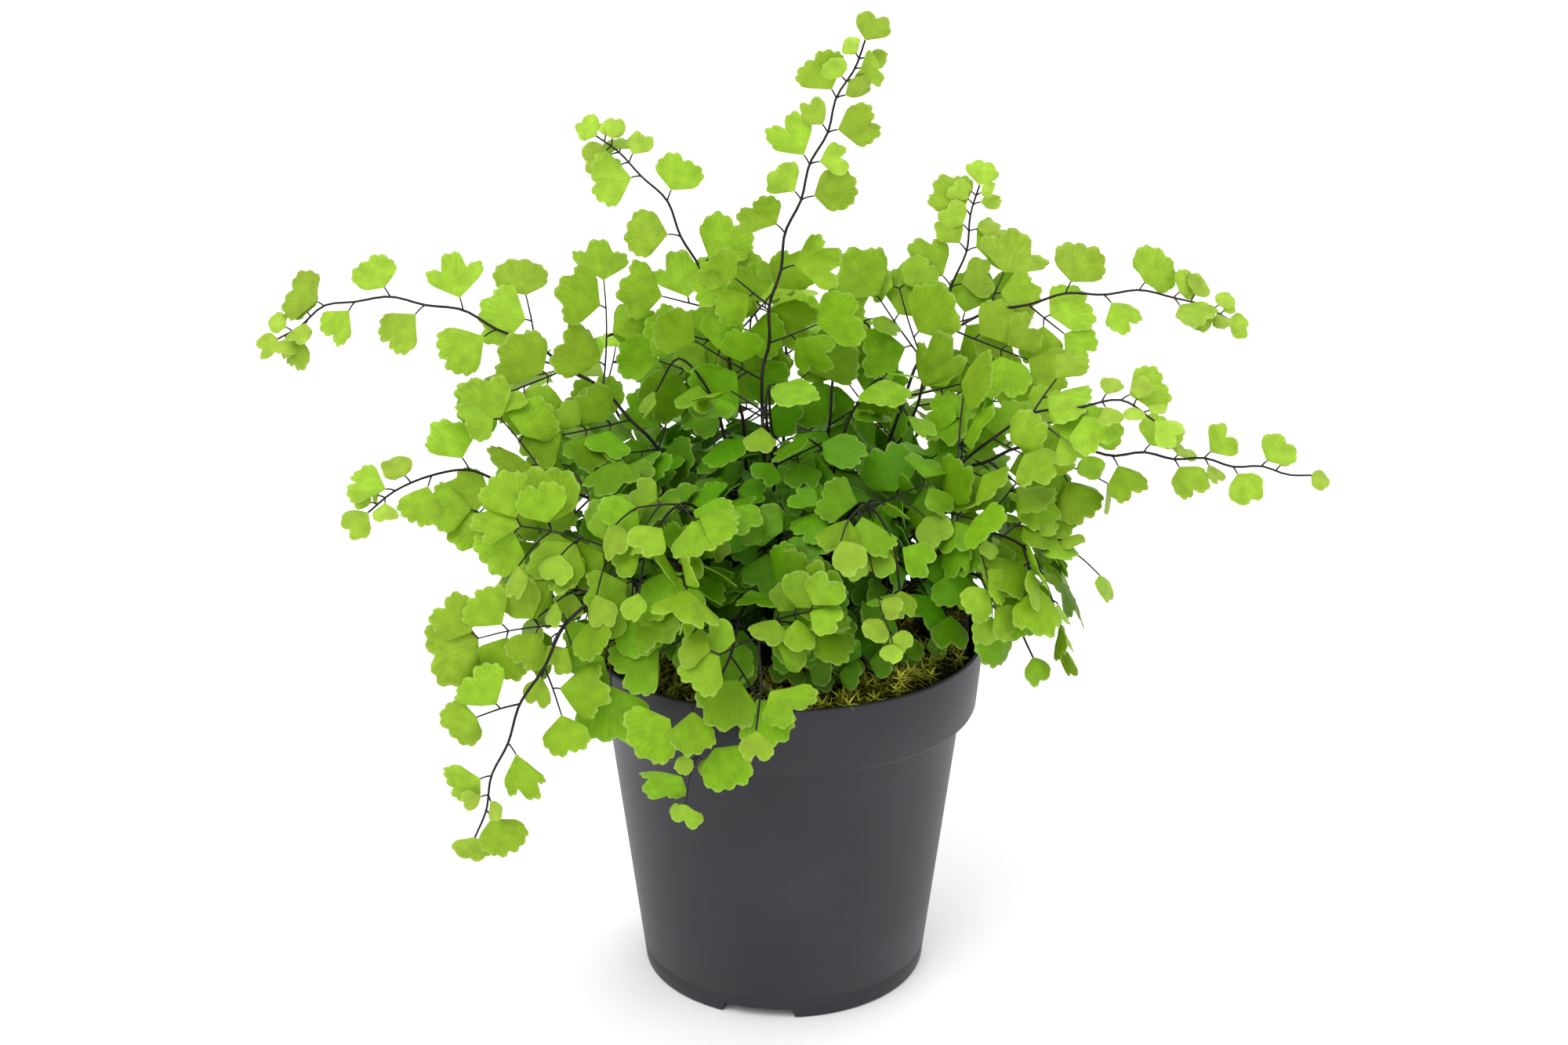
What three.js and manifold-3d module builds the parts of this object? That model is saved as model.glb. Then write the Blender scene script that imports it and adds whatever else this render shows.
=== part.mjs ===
// A maidenhair fern growing in a plain nursery pot.
// Millimetres, +Z up. The origin is on the floor, on the pot's axis, and -Y is the front.
import * as THREE from 'three';
import { mergeVertices } from 'three/addons/utils/BufferGeometryUtils.js';
import Module from 'manifold-3d';

const wasm = await Module();
wasm.setup();

// Pot, a 12 cm nursery pot: radii and heights of its outside
const POT_HEIGHT = 107;
const RIM_RADIUS = 60;
const COLLAR_HEIGHT = 21;
const COLLAR_FOOT_RADIUS = 58.2;
const NECK_RADIUS = 53.9;
const FOOT_RADIUS = 43.4;
const POT_WALL = 1.4;
const LIP_ROUND = 0.6;
const BASE_LIFT = 4;
const FOOT_RING_WIDTH = 2.6;
const NOTCH_COUNT = 3;
const NOTCH_WIDTH = 21;
const NOTCH_HEIGHT = 3.2;
const NOTCH_START_DEG = 260;
const DRAIN_COUNT = 6;
const DRAIN_RADIUS = 4;
const DRAIN_CIRCLE = 26;
const DRAIN_SIDES = 8;
const FACETS = 32;

// What fills the pot: soil, a carpet of moss on it and the creeping stem in the middle
const GAP = 0.35;
const SOIL_EDGE = 96.6;
const SOIL_MIDDLE = 99.4;
const MOSS_EDGE = 100;
const MOSS_MIDDLE = 112;
const MOSS_INNER_RADIUS = 34.5;
const MOSS_BUMP = 0.8;
const BED_RADIUS = 56;
const RHIZOME_RADIUS = 31;
const RHIZOME_HALF_HEIGHT = 10.5;
const RHIZOME_MIDDLE = 97.5;
const ROOT_HEIGHT = 98;

// Stalks and leaflets
const STALK_HALF_WIDTH = 0.65;
const THIN_HALF_WIDTH = 0.35;
const SIDE_HALF_BASE = 0.5;
const BARE_SHARES = [0, 0.33, 0.67];
const ZIGZAG = 0.7;
const STALK_CROWDING = 1.1;
const SIDE_ANGLE = 64;
const SIDE_ANGLE_FALL = 18;
const SIDE_LIFT_SPREAD = 16;
const SIDE_LEAN = 0.08;
const SIDE_DROOP = 0.05;
const SIDE_WANDER = 0.1;
const PETIOLE_SHARE = 0.32;
const JOINT_SHARE = 0.62;
const FIRST_JOINT_SHARE = 0.8;
const JOINT_PETIOLE_SHARE = 0.14;
const JOINT_LEAF_ANGLE = 66;
const SWINGS = [0, 14, -14, 28, -28, 44, -44];
const LEAF_THICKNESS = 0.7;
const LEAF_SIZE_SPREAD = 0.2;
const JOINT_LEAF_SIZE_SPREAD = 0.3;
const LEAF_HALF_ANGLE = 46;
const LEAF_ANGLE_SPREAD = 16;
const LEAF_DROOP = 0.35;
const LEAF_SUPPORT = 0.2;
const LEAF_KEEPS_OUT = 0.75;
const LEAF_SHRINKS = [1, 0.85, 0.7];
const LEAF_TWISTS = [0, 22, -22, 44, -44];
const LEAF_PITCHES = [0, 24, -24];
const LEAF_TWIST_SPREAD = 30;
const LEAF_PITCH_SPREAD = 20;
const SMALL_LEAF = 12.6;
const DOME_CENTRE = 84;
const LEAF_CORNER_FALL = 0.3;
const LEAF_NOTCH_DEPTH = 0.18;
const LEAF_TAPER = 0.55;
const CLEARANCE = 0.2;
const MOSS_CLEARANCE = 1.5;

// Each leaflet is kept clear of the others as the disc that covers it
const DISC_CENTRE = 0.5;
const DISC_RADIUS = 0.64;

const DARK_GREY = new THREE.MeshStandardMaterial({ color: '#45444a', roughness: 0.55 });
const EARTH = new THREE.MeshStandardMaterial({ color: '#2b2119', roughness: 0.95 });
const MOSS_GREEN = new THREE.MeshStandardMaterial({ color: '#5d6420', roughness: 0.95 });
const BROWN_STEM = new THREE.MeshStandardMaterial({ color: '#3a281c', roughness: 0.85 });
const LEAF_GREEN = new THREE.MeshStandardMaterial({ color: '#8cb83a', roughness: 0.6 });

// A frond that reaches out of the clump. Its stalk runs through the points, which are real places
// from the root to the tip. The side stalks stand off along the across direction, left and right in
// turn, from the end of the bare length on, and each number in sides is the leaflets on one of them.
// Facing turns the leaflets from the frond's own plane (0) to the outside of the clump (1).
const OUTER_FRONDS = [
  {
    name: 'top', seed: 1, leaflet: 12.5, bare: 0.46, facing: 0.1, across: [1, 0, 0],
    points: [[-1, 1], [-6, 0, 172], [-1, -3, 221], [13, -8, 262], [22, -10, 283]],
    sides: [3, 2, 2, 1, 1, 1, 1, 1, 1, 1],
  },
  {
    name: 'upper_left', seed: 2, leaflet: 14, bare: 0.42, facing: 0.1, across: [1, 0, 0.4],
    points: [[-9, 11], [-14, 12, 177], [-33, 18, 231], [-55, 30, 251]],
    sides: [3, 3, 3, 2, 1, 1, 1, 1, 1],
  },
  {
    name: 'left', seed: 4, leaflet: 14, bare: 0.34, facing: 0.1, across: [0, 0.5, 0.8],
    points: [[-15, 5], [-40, 5, 166], [-87, 10, 200], [-127, 17, 205], [-151, 22, 192]],
    sides: [3, 3, 4, 3, 2, 1, 1, 1, 1, 1, 1, 1],
  },
  {
    name: 'lower_left', seed: 4, leaflet: 14, bare: 0.42, facing: 0.2, across: [-0.2, 0.6, 0.8],
    points: [[-14, -4], [-47, -12, 148], [-78, -22, 161], [-97, -31, 167], [-115, -40, 158]],
    sides: [3, 3, 3, 2, 1, 1, 1],
  },
  {
    name: 'upper_right', seed: 5, leaflet: 14.5, bare: 0.45, facing: 0.1, across: [1, 0, 0],
    points: [[9, 12], [35, 18, 160], [52, 32, 209], [59, 44, 234]],
    sides: [3, 3, 3, 2, 1, 1, 1],
  },
  {
    name: 'right', seed: 6, leaflet: 13.5, bare: 0.42, facing: 0.1, across: [0, -0.5, -0.8],
    points: [[15, 5], [38, 10, 184], [69, 18, 203], [111, 26, 205], [134, 30, 196]],
    sides: [3, 3, 3, 2, 2, 1, 1, 1, 1, 1],
  },
  {
    name: 'lower_right', seed: 7, leaflet: 10, bare: 0.42, facing: 0.2, across: [0, -0.5, -0.8],
    points: [[14, -5], [53, -14, 162], [97, -24, 170], [148, -28, 165]],
    sides: [3, 3, 2, 2, 1, 1, 1, 1, 1, 1, 1, 1],
  },
  {
    name: 'middle_right', seed: 8, leaflet: 13, bare: 0.45, facing: 0.3, across: [0, -0.7, -0.7],
    points: [[11, -11], [53, -24, 170], [86, -38, 189], [100, -46, 186]],
    sides: [3, 3, 2, 2, 1, 1],
  },
  {
    name: 'front_left', seed: 9, leaflet: 15, bare: 0.36, facing: 0.2, across: [-0.87, 0.1, 0.5],
    points: [[-10, -11], [-32, -44, 146], [-55, -56, 136], [-74, -62, 105], [-87, -59, 68]],
    sides: [3, 4, 3, 3, 2, 2, 1, 1, 1],
  },
  {
    name: 'front', seed: 10, leaflet: 14, bare: 0.42, facing: 0.4, across: [1, 0, 0],
    points: [[-3, -14], [-7, -44, 136], [-17, -68, 121], [-27, -71, 84]],
    sides: [3, 3, 2, 2, 1, 1],
  },
  {
    name: 'low_right', seed: 11, leaflet: 13, bare: 0.42, facing: 0.4, across: [0.5, -0.5, -0.6],
    points: [[4, -15], [44, -32, 144], [68, -38, 147], [79, -42, 118]],
    sides: [3, 3, 3, 2, 1, 1],
  },
  {
    name: 'back_left', seed: 12, leaflet: 14, bare: 0.42, facing: 0.4, across: [0.5, 0.8, 0.2],
    points: [[-9, -1], [-52, 38, 165], [-80, 56, 176], [-98, 68, 160]],
    sides: [3, 3, 3, 2, 1, 1],
  },
  {
    name: 'back_right', seed: 13, leaflet: 14, bare: 0.42, facing: 0.4, across: [-0.6, 0.8, 0.2],
    points: [[3, 15], [46, 46, 160], [72, 66, 168], [86, 78, 150]],
    sides: [3, 3, 3, 2, 1, 1],
  },
  {
    name: 'back', seed: 14, leaflet: 14, bare: 0.45, facing: 0.3, across: [1, 0, 0],
    points: [[-4, 15], [0, 40, 180], [-3, 64, 199], [-6, 80, 192]],
    sides: [3, 3, 2, 2, 1, 1],
  },
];

// The fronds of the dense dome stand in three rings and arch out to a circle of tips.
const RINGS = [
  {
    name: 'inner', count: 5, rootRadius: 7, rootTurn: 20, turn: 40, reach: 40, top: 196, droop: 10,
    bare: 0.45, sides: [3, 2, 2, 1], seed: 21,
  },
  {
    name: 'middle', count: 6, rootRadius: 20, rootTurn: -5, turn: -5, reach: 70, top: 164, droop: 20,
    bare: 0.4, sides: [3, 3, 2, 1], seed: 41,
  },
  {
    name: 'outer', count: 7, rootRadius: 26, rootTurn: 13, turn: 13, reach: 86, top: 134, droop: 20,
    bare: 0.35, sides: [3, 2, 2, 1], seed: 61,
  },
];
const RING_LEAFLET = 14;
const RING_FACING = 0.75;
const RING_TURN_SPREAD = 12;
const RING_REACH_SPREAD = 0.16;
const RING_TOP_SPREAD = 0.06;

const vector = (x, y, z) => new THREE.Vector3(x, y, z);
const radians = (degrees) => THREE.MathUtils.degToRad(degrees);
const cross = (a, b) => vector(0, 0, 0).crossVectors(a, b);

// A fixed draw between 0 and 1, so that the plant grows the same way every time.
function draw(seed, n) {
  const x = Math.sin(seed * 12.9898 + n * 78.233) * 43758.5453;
  return x - Math.floor(x);
}

// A factor round 1 that is drawn from a range of the given width.
function spread(width, seed, n) {
  return 1 + width * (draw(seed, n) - 0.5);
}

// Height of the moss at a distance from the pot's axis.
function mossHeight(radius) {
  return MOSS_MIDDLE - (MOSS_MIDDLE - MOSS_EDGE) * Math.min(1, radius / BED_RADIUS) ** 2;
}

function soilHeight(radius) {
  return SOIL_MIDDLE - (SOIL_MIDDLE - SOIL_EDGE) * (radius / BED_RADIUS) ** 2;
}

// Radius of the body's outside below the collar.
function bodyRadius(height) {
  const slope = (NECK_RADIUS - FOOT_RADIUS) / (POT_HEIGHT - COLLAR_HEIGHT);
  return FOOT_RADIUS + slope * height;
}

// Radius of the collar's outside.
function collarRadius(height) {
  const slope = (RIM_RADIUS - COLLAR_FOOT_RADIUS) / COLLAR_HEIGHT;
  return COLLAR_FOOT_RADIUS + slope * (height - (POT_HEIGHT - COLLAR_HEIGHT));
}

// Closed solids from geometry, and geometry from a joined or cut solid

function solidOf(geometry) {
  const bare = geometry.index ? geometry.toNonIndexed() : geometry.clone();
  bare.deleteAttribute('normal');
  bare.deleteAttribute('uv');
  const merged = mergeVertices(bare, 1e-4);
  return new wasm.Manifold(new wasm.Mesh({
    numProp: 3,
    vertProperties: merged.attributes.position.array,
    triVerts: new Uint32Array(merged.index.array),
  }));
}

function geometryOf(solid) {
  const mesh = solid.getMesh();
  const geometry = new THREE.BufferGeometry();
  geometry.setAttribute('position', new THREE.BufferAttribute(mesh.vertProperties, 3));
  geometry.setIndex(new THREE.BufferAttribute(mesh.triVerts, 1));
  return geometry;
}

// Turns a closed outline of [radius, height] pairs round the Z axis.
function turned(outline) {
  const points = outline.map(([radius, height]) => new THREE.Vector2(radius, height));
  return new THREE.LatheGeometry(points, FACETS).rotateX(Math.PI / 2);
}

// Pot: a tapered body and collar, open at the top, on a ring foot under a raised bottom

function potOutline() {
  const neck = POT_HEIGHT - COLLAR_HEIGHT;
  const floorTop = BASE_LIFT + POT_WALL;
  return [
    [0, BASE_LIFT],
    [FOOT_RADIUS - FOOT_RING_WIDTH, BASE_LIFT],
    [FOOT_RADIUS - FOOT_RING_WIDTH, 0],
    [FOOT_RADIUS, 0],
    [NECK_RADIUS, neck],
    [COLLAR_FOOT_RADIUS, neck],
    [RIM_RADIUS, POT_HEIGHT - LIP_ROUND],
    [RIM_RADIUS - LIP_ROUND, POT_HEIGHT],
    [RIM_RADIUS - POT_WALL, POT_HEIGHT],
    [collarRadius(neck + POT_WALL) - POT_WALL, neck + POT_WALL],
    [NECK_RADIUS - POT_WALL, neck + POT_WALL],
    [bodyRadius(floorTop) - POT_WALL, floorTop],
    [0, floorTop],
  ];
}

// Cuts through the foot ring that let the water run out.
function footNotches() {
  return Array.from({ length: NOTCH_COUNT }, (_, k) => {
    const notch = new THREE.BoxGeometry(4 * FOOT_RING_WIDTH, NOTCH_WIDTH, 2 * NOTCH_HEIGHT);
    notch.translate(FOOT_RADIUS, 0, 0);
    return notch.rotateZ(radians(NOTCH_START_DEG + 360 * k / NOTCH_COUNT));
  });
}

function drainHoles() {
  return Array.from({ length: DRAIN_COUNT }, (_, k) => {
    const hole = new THREE.CylinderGeometry(DRAIN_RADIUS, DRAIN_RADIUS, 4 * POT_WALL, DRAIN_SIDES);
    hole.rotateX(Math.PI / 2).translate(DRAIN_CIRCLE, 0, BASE_LIFT);
    return hole.rotateZ(radians(360 * (k + 0.5) / DRAIN_COUNT));
  });
}

function pot() {
  const cuts = [...footNotches(), ...drainHoles()];
  const body = cuts.reduce((solid, cut) => solid.subtract(solidOf(cut)), solidOf(turned(potOutline())));
  return new THREE.Mesh(geometryOf(body), DARK_GREY);
}

// Rhizome: the creeping stem under the stalks, a low lobed clump with a hole for each stalk

function rhizomeShape(growth) {
  const geometry = new THREE.SphereGeometry(1, 12, 6).rotateX(Math.PI / 2);
  const position = geometry.attributes.position;
  for (let i = 0; i < position.count; i += 1) {
    const angle = Math.atan2(position.getY(i), position.getX(i));
    const lobes = 1 + 0.05 * Math.sin(5 * angle + 1);
    const radius = (RHIZOME_RADIUS + growth) * lobes;
    const height = (RHIZOME_HALF_HEIGHT + growth) * position.getZ(i);
    position.setXYZ(i, radius * position.getX(i), radius * position.getY(i), RHIZOME_MIDDLE + height);
  }
  return geometry;
}

function rhizome(stalkHoles) {
  const clump = stalkHoles.reduce((solid, hole) => solid.subtract(hole), solidOf(rhizomeShape(0)));
  return new THREE.Mesh(geometryOf(clump), BROWN_STEM);
}

// Root ball: the soil that fills the pot, with a pocket that the rhizome lies in

function soilOutline() {
  const step = POT_HEIGHT - COLLAR_HEIGHT + POT_WALL + GAP;
  const bottom = BASE_LIFT + POT_WALL + GAP;
  const side = POT_WALL + GAP;
  const rings = [BED_RADIUS, MOSS_INNER_RADIUS];
  return [
    [0, bottom],
    [bodyRadius(bottom) - side, bottom],
    [NECK_RADIUS - side, step],
    [COLLAR_FOOT_RADIUS - side, step],
    ...rings.map((radius) => [radius, soilHeight(radius)]),
    [0, SOIL_MIDDLE],
  ];
}

function soil() {
  const pocket = solidOf(rhizomeShape(GAP));
  return new THREE.Mesh(geometryOf(solidOf(turned(soilOutline())).subtract(pocket)), EARTH);
}

// Moss: a carpet on the soil round the stalks, bumpy on top

function mossOutline() {
  const rings = [MOSS_INNER_RADIUS, 0.8 * BED_RADIUS, BED_RADIUS];
  const under = rings.map((radius) => [radius, soilHeight(radius) + GAP]);
  const over = rings.toReversed().map((radius) => [radius, mossHeight(radius)]);
  return [...under, ...over, under[0]];
}

function moss() {
  const geometry = mergeVertices(turned(mossOutline()).deleteAttribute('normal').deleteAttribute('uv'));
  const position = geometry.attributes.position;
  for (let i = 0; i < position.count; i += 1) {
    const x = position.getX(i);
    const y = position.getY(i);
    const isTop = position.getZ(i) > soilHeight(Math.hypot(x, y)) + 2 * GAP;
    const bump = MOSS_BUMP * Math.sin(0.55 * x + 0.2 * y) * Math.cos(0.5 * y);
    if (isTop) position.setZ(i, position.getZ(i) + bump);
  }
  return new THREE.Mesh(geometry, MOSS_GREEN);
}

// Where the fronds stand: the outer ones from the list above, the dome's from the rings

function ringFronds(ring) {
  return Array.from({ length: ring.count }, (_, k) => {
    const seed = ring.seed + k;
    const step = 360 * k / ring.count;
    const turn = radians(ring.turn + step + RING_TURN_SPREAD * (draw(seed, 1) - 0.5));
    const rootTurn = radians(ring.rootTurn + step);
    const reach = ring.reach * spread(RING_REACH_SPREAD, seed, 2);
    const top = ring.top * spread(RING_TOP_SPREAD, seed, 3);
    const out = (share) => [share * reach * Math.cos(turn), share * reach * Math.sin(turn)];
    return {
      name: `${ring.name}_${k + 1}`,
      seed,
      leaflet: RING_LEAFLET,
      bare: ring.bare,
      facing: RING_FACING,
      across: [Math.sin(turn), -Math.cos(turn), 0],
      sides: ring.sides,
      points: [
        [ring.rootRadius * Math.cos(rootTurn), ring.rootRadius * Math.sin(rootTurn)],
        [...out(0.5), ROOT_HEIGHT + 0.8 * (top - ROOT_HEIGHT)],
        [...out(0.82), top],
        [...out(1), top - ring.droop],
      ],
    };
  });
}

// The stalk's curve, and its direction, width direction and upper face at a share of its length.
function stalkOf(frond) {
  const points = frond.points.map(([x, y, z = ROOT_HEIGHT]) => vector(x, y, z));
  const curve = new THREE.CatmullRomCurve3(points, false, 'catmullrom', 0.5);
  const frameAt = (t) => {
    const along = curve.getTangentAt(t);
    const across = vector(...frond.across);
    across.addScaledVector(along, -across.dot(along)).normalize();
    return { along, across, face: cross(across, along) };
  };
  return { curve, frameAt };
}

// The zigzag corners of the stalk: three along its bare part, one at each side stalk, and the tip.
function stalkNodes(frond, stalk) {
  const count = frond.sides.length;
  const shares = frond.sides.map((_, k) => 1 - (1 - frond.bare) * ((count - k) / count) ** STALK_CROWDING);
  const nodes = BARE_SHARES.map((share) => stalk.curve.getPointAt(share * frond.bare));
  shares.forEach((t, k) => {
    const side = stalk.frameAt(t).across.multiplyScalar(sideOf(frond, k) * ZIGZAG);
    nodes.push(stalk.curve.getPointAt(t).add(side));
  });
  nodes.push(stalk.curve.getPointAt(1));
  return { nodes, shares };
}

// Side stalks stand on one side and the other in turn.
function sideOf(frond, k) {
  return (k + frond.seed) % 2 === 0 ? 1 : -1;
}

// Tests that keep stalks (rods) and leaflets (discs) from crossing

function distanceBetweenRods(p1, q1, p2, q2) {
  const d1 = q1.clone().sub(p1);
  const d2 = q2.clone().sub(p2);
  const r = p1.clone().sub(p2);
  const a = d1.dot(d1);
  const e = d2.dot(d2);
  const f = d2.dot(r);
  const c = d1.dot(r);
  const b = d1.dot(d2);
  const twist = a * e - b * b;
  const clamp = (x) => THREE.MathUtils.clamp(x, 0, 1);
  let s = twist > 1e-9 ? clamp((b * f - c * e) / twist) : 0;
  let t = (b * s + f) / e;
  if (t < 0) s = clamp(-c / a);
  else if (t > 1) s = clamp((b - c) / a);
  t = clamp(t);
  return p1.clone().addScaledVector(d1, s).distanceTo(p2.clone().addScaledVector(d2, t));
}

// A point's height over a disc's plane and its distance from the disc's centre in that plane.
function placeOverDisc(point, disc) {
  const offset = point.clone().sub(disc.centre);
  const height = offset.dot(disc.normal);
  return { height, reach: offset.addScaledVector(disc.normal, -height).length() };
}

function rodMeetsDisc(rod, disc) {
  const margin = rod.radius + LEAF_THICKNESS / 2 + CLEARANCE;
  for (let k = 0; k <= 6; k += 1) {
    const { height, reach } = placeOverDisc(rod.from.clone().lerp(rod.to, k / 6), disc);
    if (Math.abs(height) < margin && reach < disc.radius + margin) return true;
  }
  const start = placeOverDisc(rod.from, disc).height;
  const end = placeOverDisc(rod.to, disc).height;
  if (start * end >= 0) return false;
  const crossing = rod.from.clone().lerp(rod.to, start / (start - end));
  return placeOverDisc(crossing, disc).reach < disc.radius + margin;
}

// The middle and eight points of a disc's edge.
function discPoints(disc) {
  const first = cross(disc.normal, vector(0.31, 0.95, 0.11)).normalize();
  const second = cross(disc.normal, first);
  const edge = Array.from({ length: 8 }, (_, k) => disc.centre.clone()
    .addScaledVector(first, disc.radius * Math.cos(k * Math.PI / 4))
    .addScaledVector(second, disc.radius * Math.sin(k * Math.PI / 4)));
  return [disc.centre, ...edge];
}

// The middle and half length of a disc's chord on the line where its plane meets another's.
function chord(disc, other, line, margin) {
  const inPlane = cross(line, disc.normal);
  const slope = inPlane.dot(other.normal);
  if (Math.abs(slope) < 1e-9) return null;
  const shift = other.centre.clone().sub(disc.centre).dot(other.normal) / slope;
  const radius = disc.radius + margin;
  if (Math.abs(shift) > radius) return null;
  return {
    middle: disc.centre.clone().addScaledVector(inPlane, shift),
    half: Math.sqrt(radius * radius - shift * shift),
  };
}

function discsMeet(one, two) {
  const margin = LEAF_THICKNESS + CLEARANCE;
  const isClose = (disc, other) => discPoints(disc).some((point) => {
    const { height, reach } = placeOverDisc(point, other);
    return Math.abs(height) < margin && reach < other.radius + margin;
  });
  if (isClose(one, two) || isClose(two, one)) return true;
  const line = cross(one.normal, two.normal);
  if (line.length() < 0.05) return false;
  line.normalize();
  const first = chord(one, two, line, margin);
  const second = chord(two, one, line, margin);
  if (!first || !second) return false;
  return Math.abs(first.middle.sub(second.middle).dot(line)) < first.half + second.half;
}

// Whether a point is clear of the floor, the pot and the moss.
function isClearOfPot(point, margin) {
  const radius = Math.hypot(point.x, point.y);
  const neck = POT_HEIGHT - COLLAR_HEIGHT;
  const inRim = radius < RIM_RADIUS + margin && radius > BED_RADIUS - 3 && point.z < POT_HEIGHT + margin;
  const inMoss = radius <= BED_RADIUS && point.z < mossHeight(radius) + margin + MOSS_CLEARANCE;
  const inBody = radius < NECK_RADIUS + margin && point.z < neck;
  return point.z >= 2 && !inRim && !inMoss && !inBody;
}

function endsNear(rod, point, reach) {
  return Math.min(rod.from.distanceTo(point), rod.to.distanceTo(point)) < reach;
}

// All stalks and leaflets that stand so far.
class Thicket {
  discs = [];
  rods = [];

  addRod(from, to, radius, owner) {
    this.rods.push({ from, to, radius, owner });
  }

  // A leaflet may come near the stalks of its own frond that end close to its base.
  isLeafClear(disc, owner, base, reach) {
    if (!discPoints(disc).every((point) => isClearOfPot(point, MOSS_CLEARANCE))) return false;
    const near = this.discs.filter((other) => other.centre.distanceTo(disc.centre)
      < other.radius + disc.radius + LEAF_THICKNESS);
    if (near.some((other) => discsMeet(disc, other))) return false;
    const others = this.rods.filter((rod) => rod.owner !== owner || !endsNear(rod, base, reach));
    return !others.some((rod) => rodMeetsDisc(rod, disc));
  }

  // A side stalk may come near the pieces of its own frond's stalk that it stands on.
  isRodClear(rod, base) {
    const others = this.rods.filter((other) => other.owner !== rod.owner || !endsNear(other, base, 1));
    const isNear = (other) => distanceBetweenRods(rod.from, rod.to, other.from, other.to)
      < other.radius + rod.radius + CLEARANCE;
    if (others.some(isNear)) return false;
    if (this.discs.some((disc) => rodMeetsDisc(rod, disc))) return false;
    return [0, 0.25, 0.5, 0.75, 1].every((t) => isClearOfPot(rod.from.clone().lerp(rod.to, t), 1));
  }
}

// Turns a direction towards another, square to it, by an angle in degrees.
function turnedTowards(direction, other, degrees) {
  const angle = radians(degrees);
  const turned = direction.clone().multiplyScalar(Math.cos(angle));
  return turned.addScaledVector(other, Math.sin(angle)).normalize();
}

// Sets a leaflet at the end of its stalk, turned until it is clear of all that stands so far.
// It keeps to the outside, which is the way that what carries it looks there.
function growLeaf(thicket, plant, base, direction, outside, face, size, key) {
  const { frond, owner } = plant;
  const outward = base.clone().sub(vector(0, 0, DOME_CENTRE)).normalize();
  const upper = face.clone().multiplyScalar(face.dot(outward) < 0 ? -1 : 1);
  const along = direction.clone().addScaledVector(outward, -direction.dot(outward) * frond.facing);
  along.z -= LEAF_DROOP * frond.facing;
  along.normalize();
  const normal = upper.clone().multiplyScalar(1 - frond.facing).addScaledVector(outward, frond.facing);
  normal.normalize().addScaledVector(along, -normal.dot(along));
  if (normal.length() < 0.2) normal.copy(upper).addScaledVector(along, -upper.dot(along));
  normal.normalize();
  const side = cross(normal, along);
  const ownTwist = LEAF_TWIST_SPREAD * (draw(frond.seed, key) - 0.5);
  const ownPitch = LEAF_PITCH_SPREAD * (draw(frond.seed, key + 5) - 0.5);
  for (const shrink of LEAF_SHRINKS) {
    for (const twist of LEAF_TWISTS) {
      for (const pitch of LEAF_PITCHES) {
        const tilted = turnedTowards(normal, side, twist + ownTwist);
        const reach = turnedTowards(along, tilted, pitch + ownPitch);
        if (reach.dot(outside) < LEAF_KEEPS_OUT) continue;
        const up = cross(reach, cross(tilted, reach)).normalize();
        const length = size * shrink;
        const centre = base.clone().addScaledVector(reach, DISC_CENTRE * length);
        const disc = { centre, normal: up, radius: DISC_RADIUS * length };
        if (thicket.isLeafClear(disc, owner, base, LEAF_SUPPORT * size)) {
          thicket.discs.push(disc);
          const lobes = length < SMALL_LEAF || draw(frond.seed, key + 3) < 0.5 ? 2 : 3;
          const halfAngle = LEAF_HALF_ANGLE + LEAF_ANGLE_SPREAD * draw(frond.seed, key + 2);
          return { base, direction: reach, normal: up, size: length, lobes, halfAngle };
        }
      }
    }
  }
  return null;
}

// The direction of side stalk k, which leans from the frond's tip to its side and then swings up.
function sideDirection(plant, k, frame, angle, swing) {
  const lift = swing + SIDE_LIFT_SPREAD * (draw(plant.frond.seed, k * 7 + 3) - 0.5);
  const side = frame.across.clone().multiplyScalar(sideOf(plant.frond, k));
  return turnedTowards(turnedTowards(frame.along, side, angle), frame.face, lift);
}

// One leaflet on a short stalk.
function growSingle(thicket, plant, k, base, frame, angle, size) {
  const radius = THIN_HALF_WIDTH;
  const outside = frame.across.clone().multiplyScalar(sideOf(plant.frond, k));
  for (const swing of SWINGS) {
    const direction = sideDirection(plant, k, frame, angle, swing);
    const tip = base.clone().addScaledVector(direction, PETIOLE_SHARE * size);
    const from = base.clone().addScaledVector(direction, 1.5);
    if (!thicket.isRodClear({ from, to: tip, radius, owner: plant.owner }, base)) continue;
    const leaf = growLeaf(thicket, plant, tip, direction, outside, frame.face, size, k * 7 + 4);
    if (!leaf) continue;
    thicket.addRod(base, tip, radius, plant.owner);
    return { joints: [base, tip], leaves: [null, leaf], face: frame.face, k };
  }
  return null;
}

// The joints of a side stalk, which bends a little towards the tip of the frond and down.
function sideJoints(plant, k, base, frame, angle, swing, size) {
  const joints = [base];
  const direction = sideDirection(plant, k, frame, angle, swing);
  for (let j = 0; j < plant.frond.sides[k]; j += 1) {
    const wander = SIDE_WANDER * (draw(plant.frond.seed, k * 31 + j) - 0.5);
    direction.addScaledVector(frame.along, SIDE_LEAN).addScaledVector(frame.face, wander);
    direction.z -= SIDE_DROOP;
    direction.normalize();
    const step = JOINT_SHARE * size * (j === 0 ? FIRST_JOINT_SHARE : 1);
    joints.push(joints[j].clone().addScaledVector(direction, step));
  }
  return joints;
}

// How many pieces of a side stalk, counted from the frond's own stalk, are clear.
function clearPieces(thicket, joints, owner) {
  for (let j = 0; j + 1 < joints.length; j += 1) {
    const from = joints[j].clone().lerp(joints[j + 1], 0.2);
    const piece = { from, to: joints[j + 1], radius: THIN_HALF_WIDTH, owner };
    if (!thicket.isRodClear(piece, joints[0])) return j;
  }
  return joints.length - 1;
}

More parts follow.
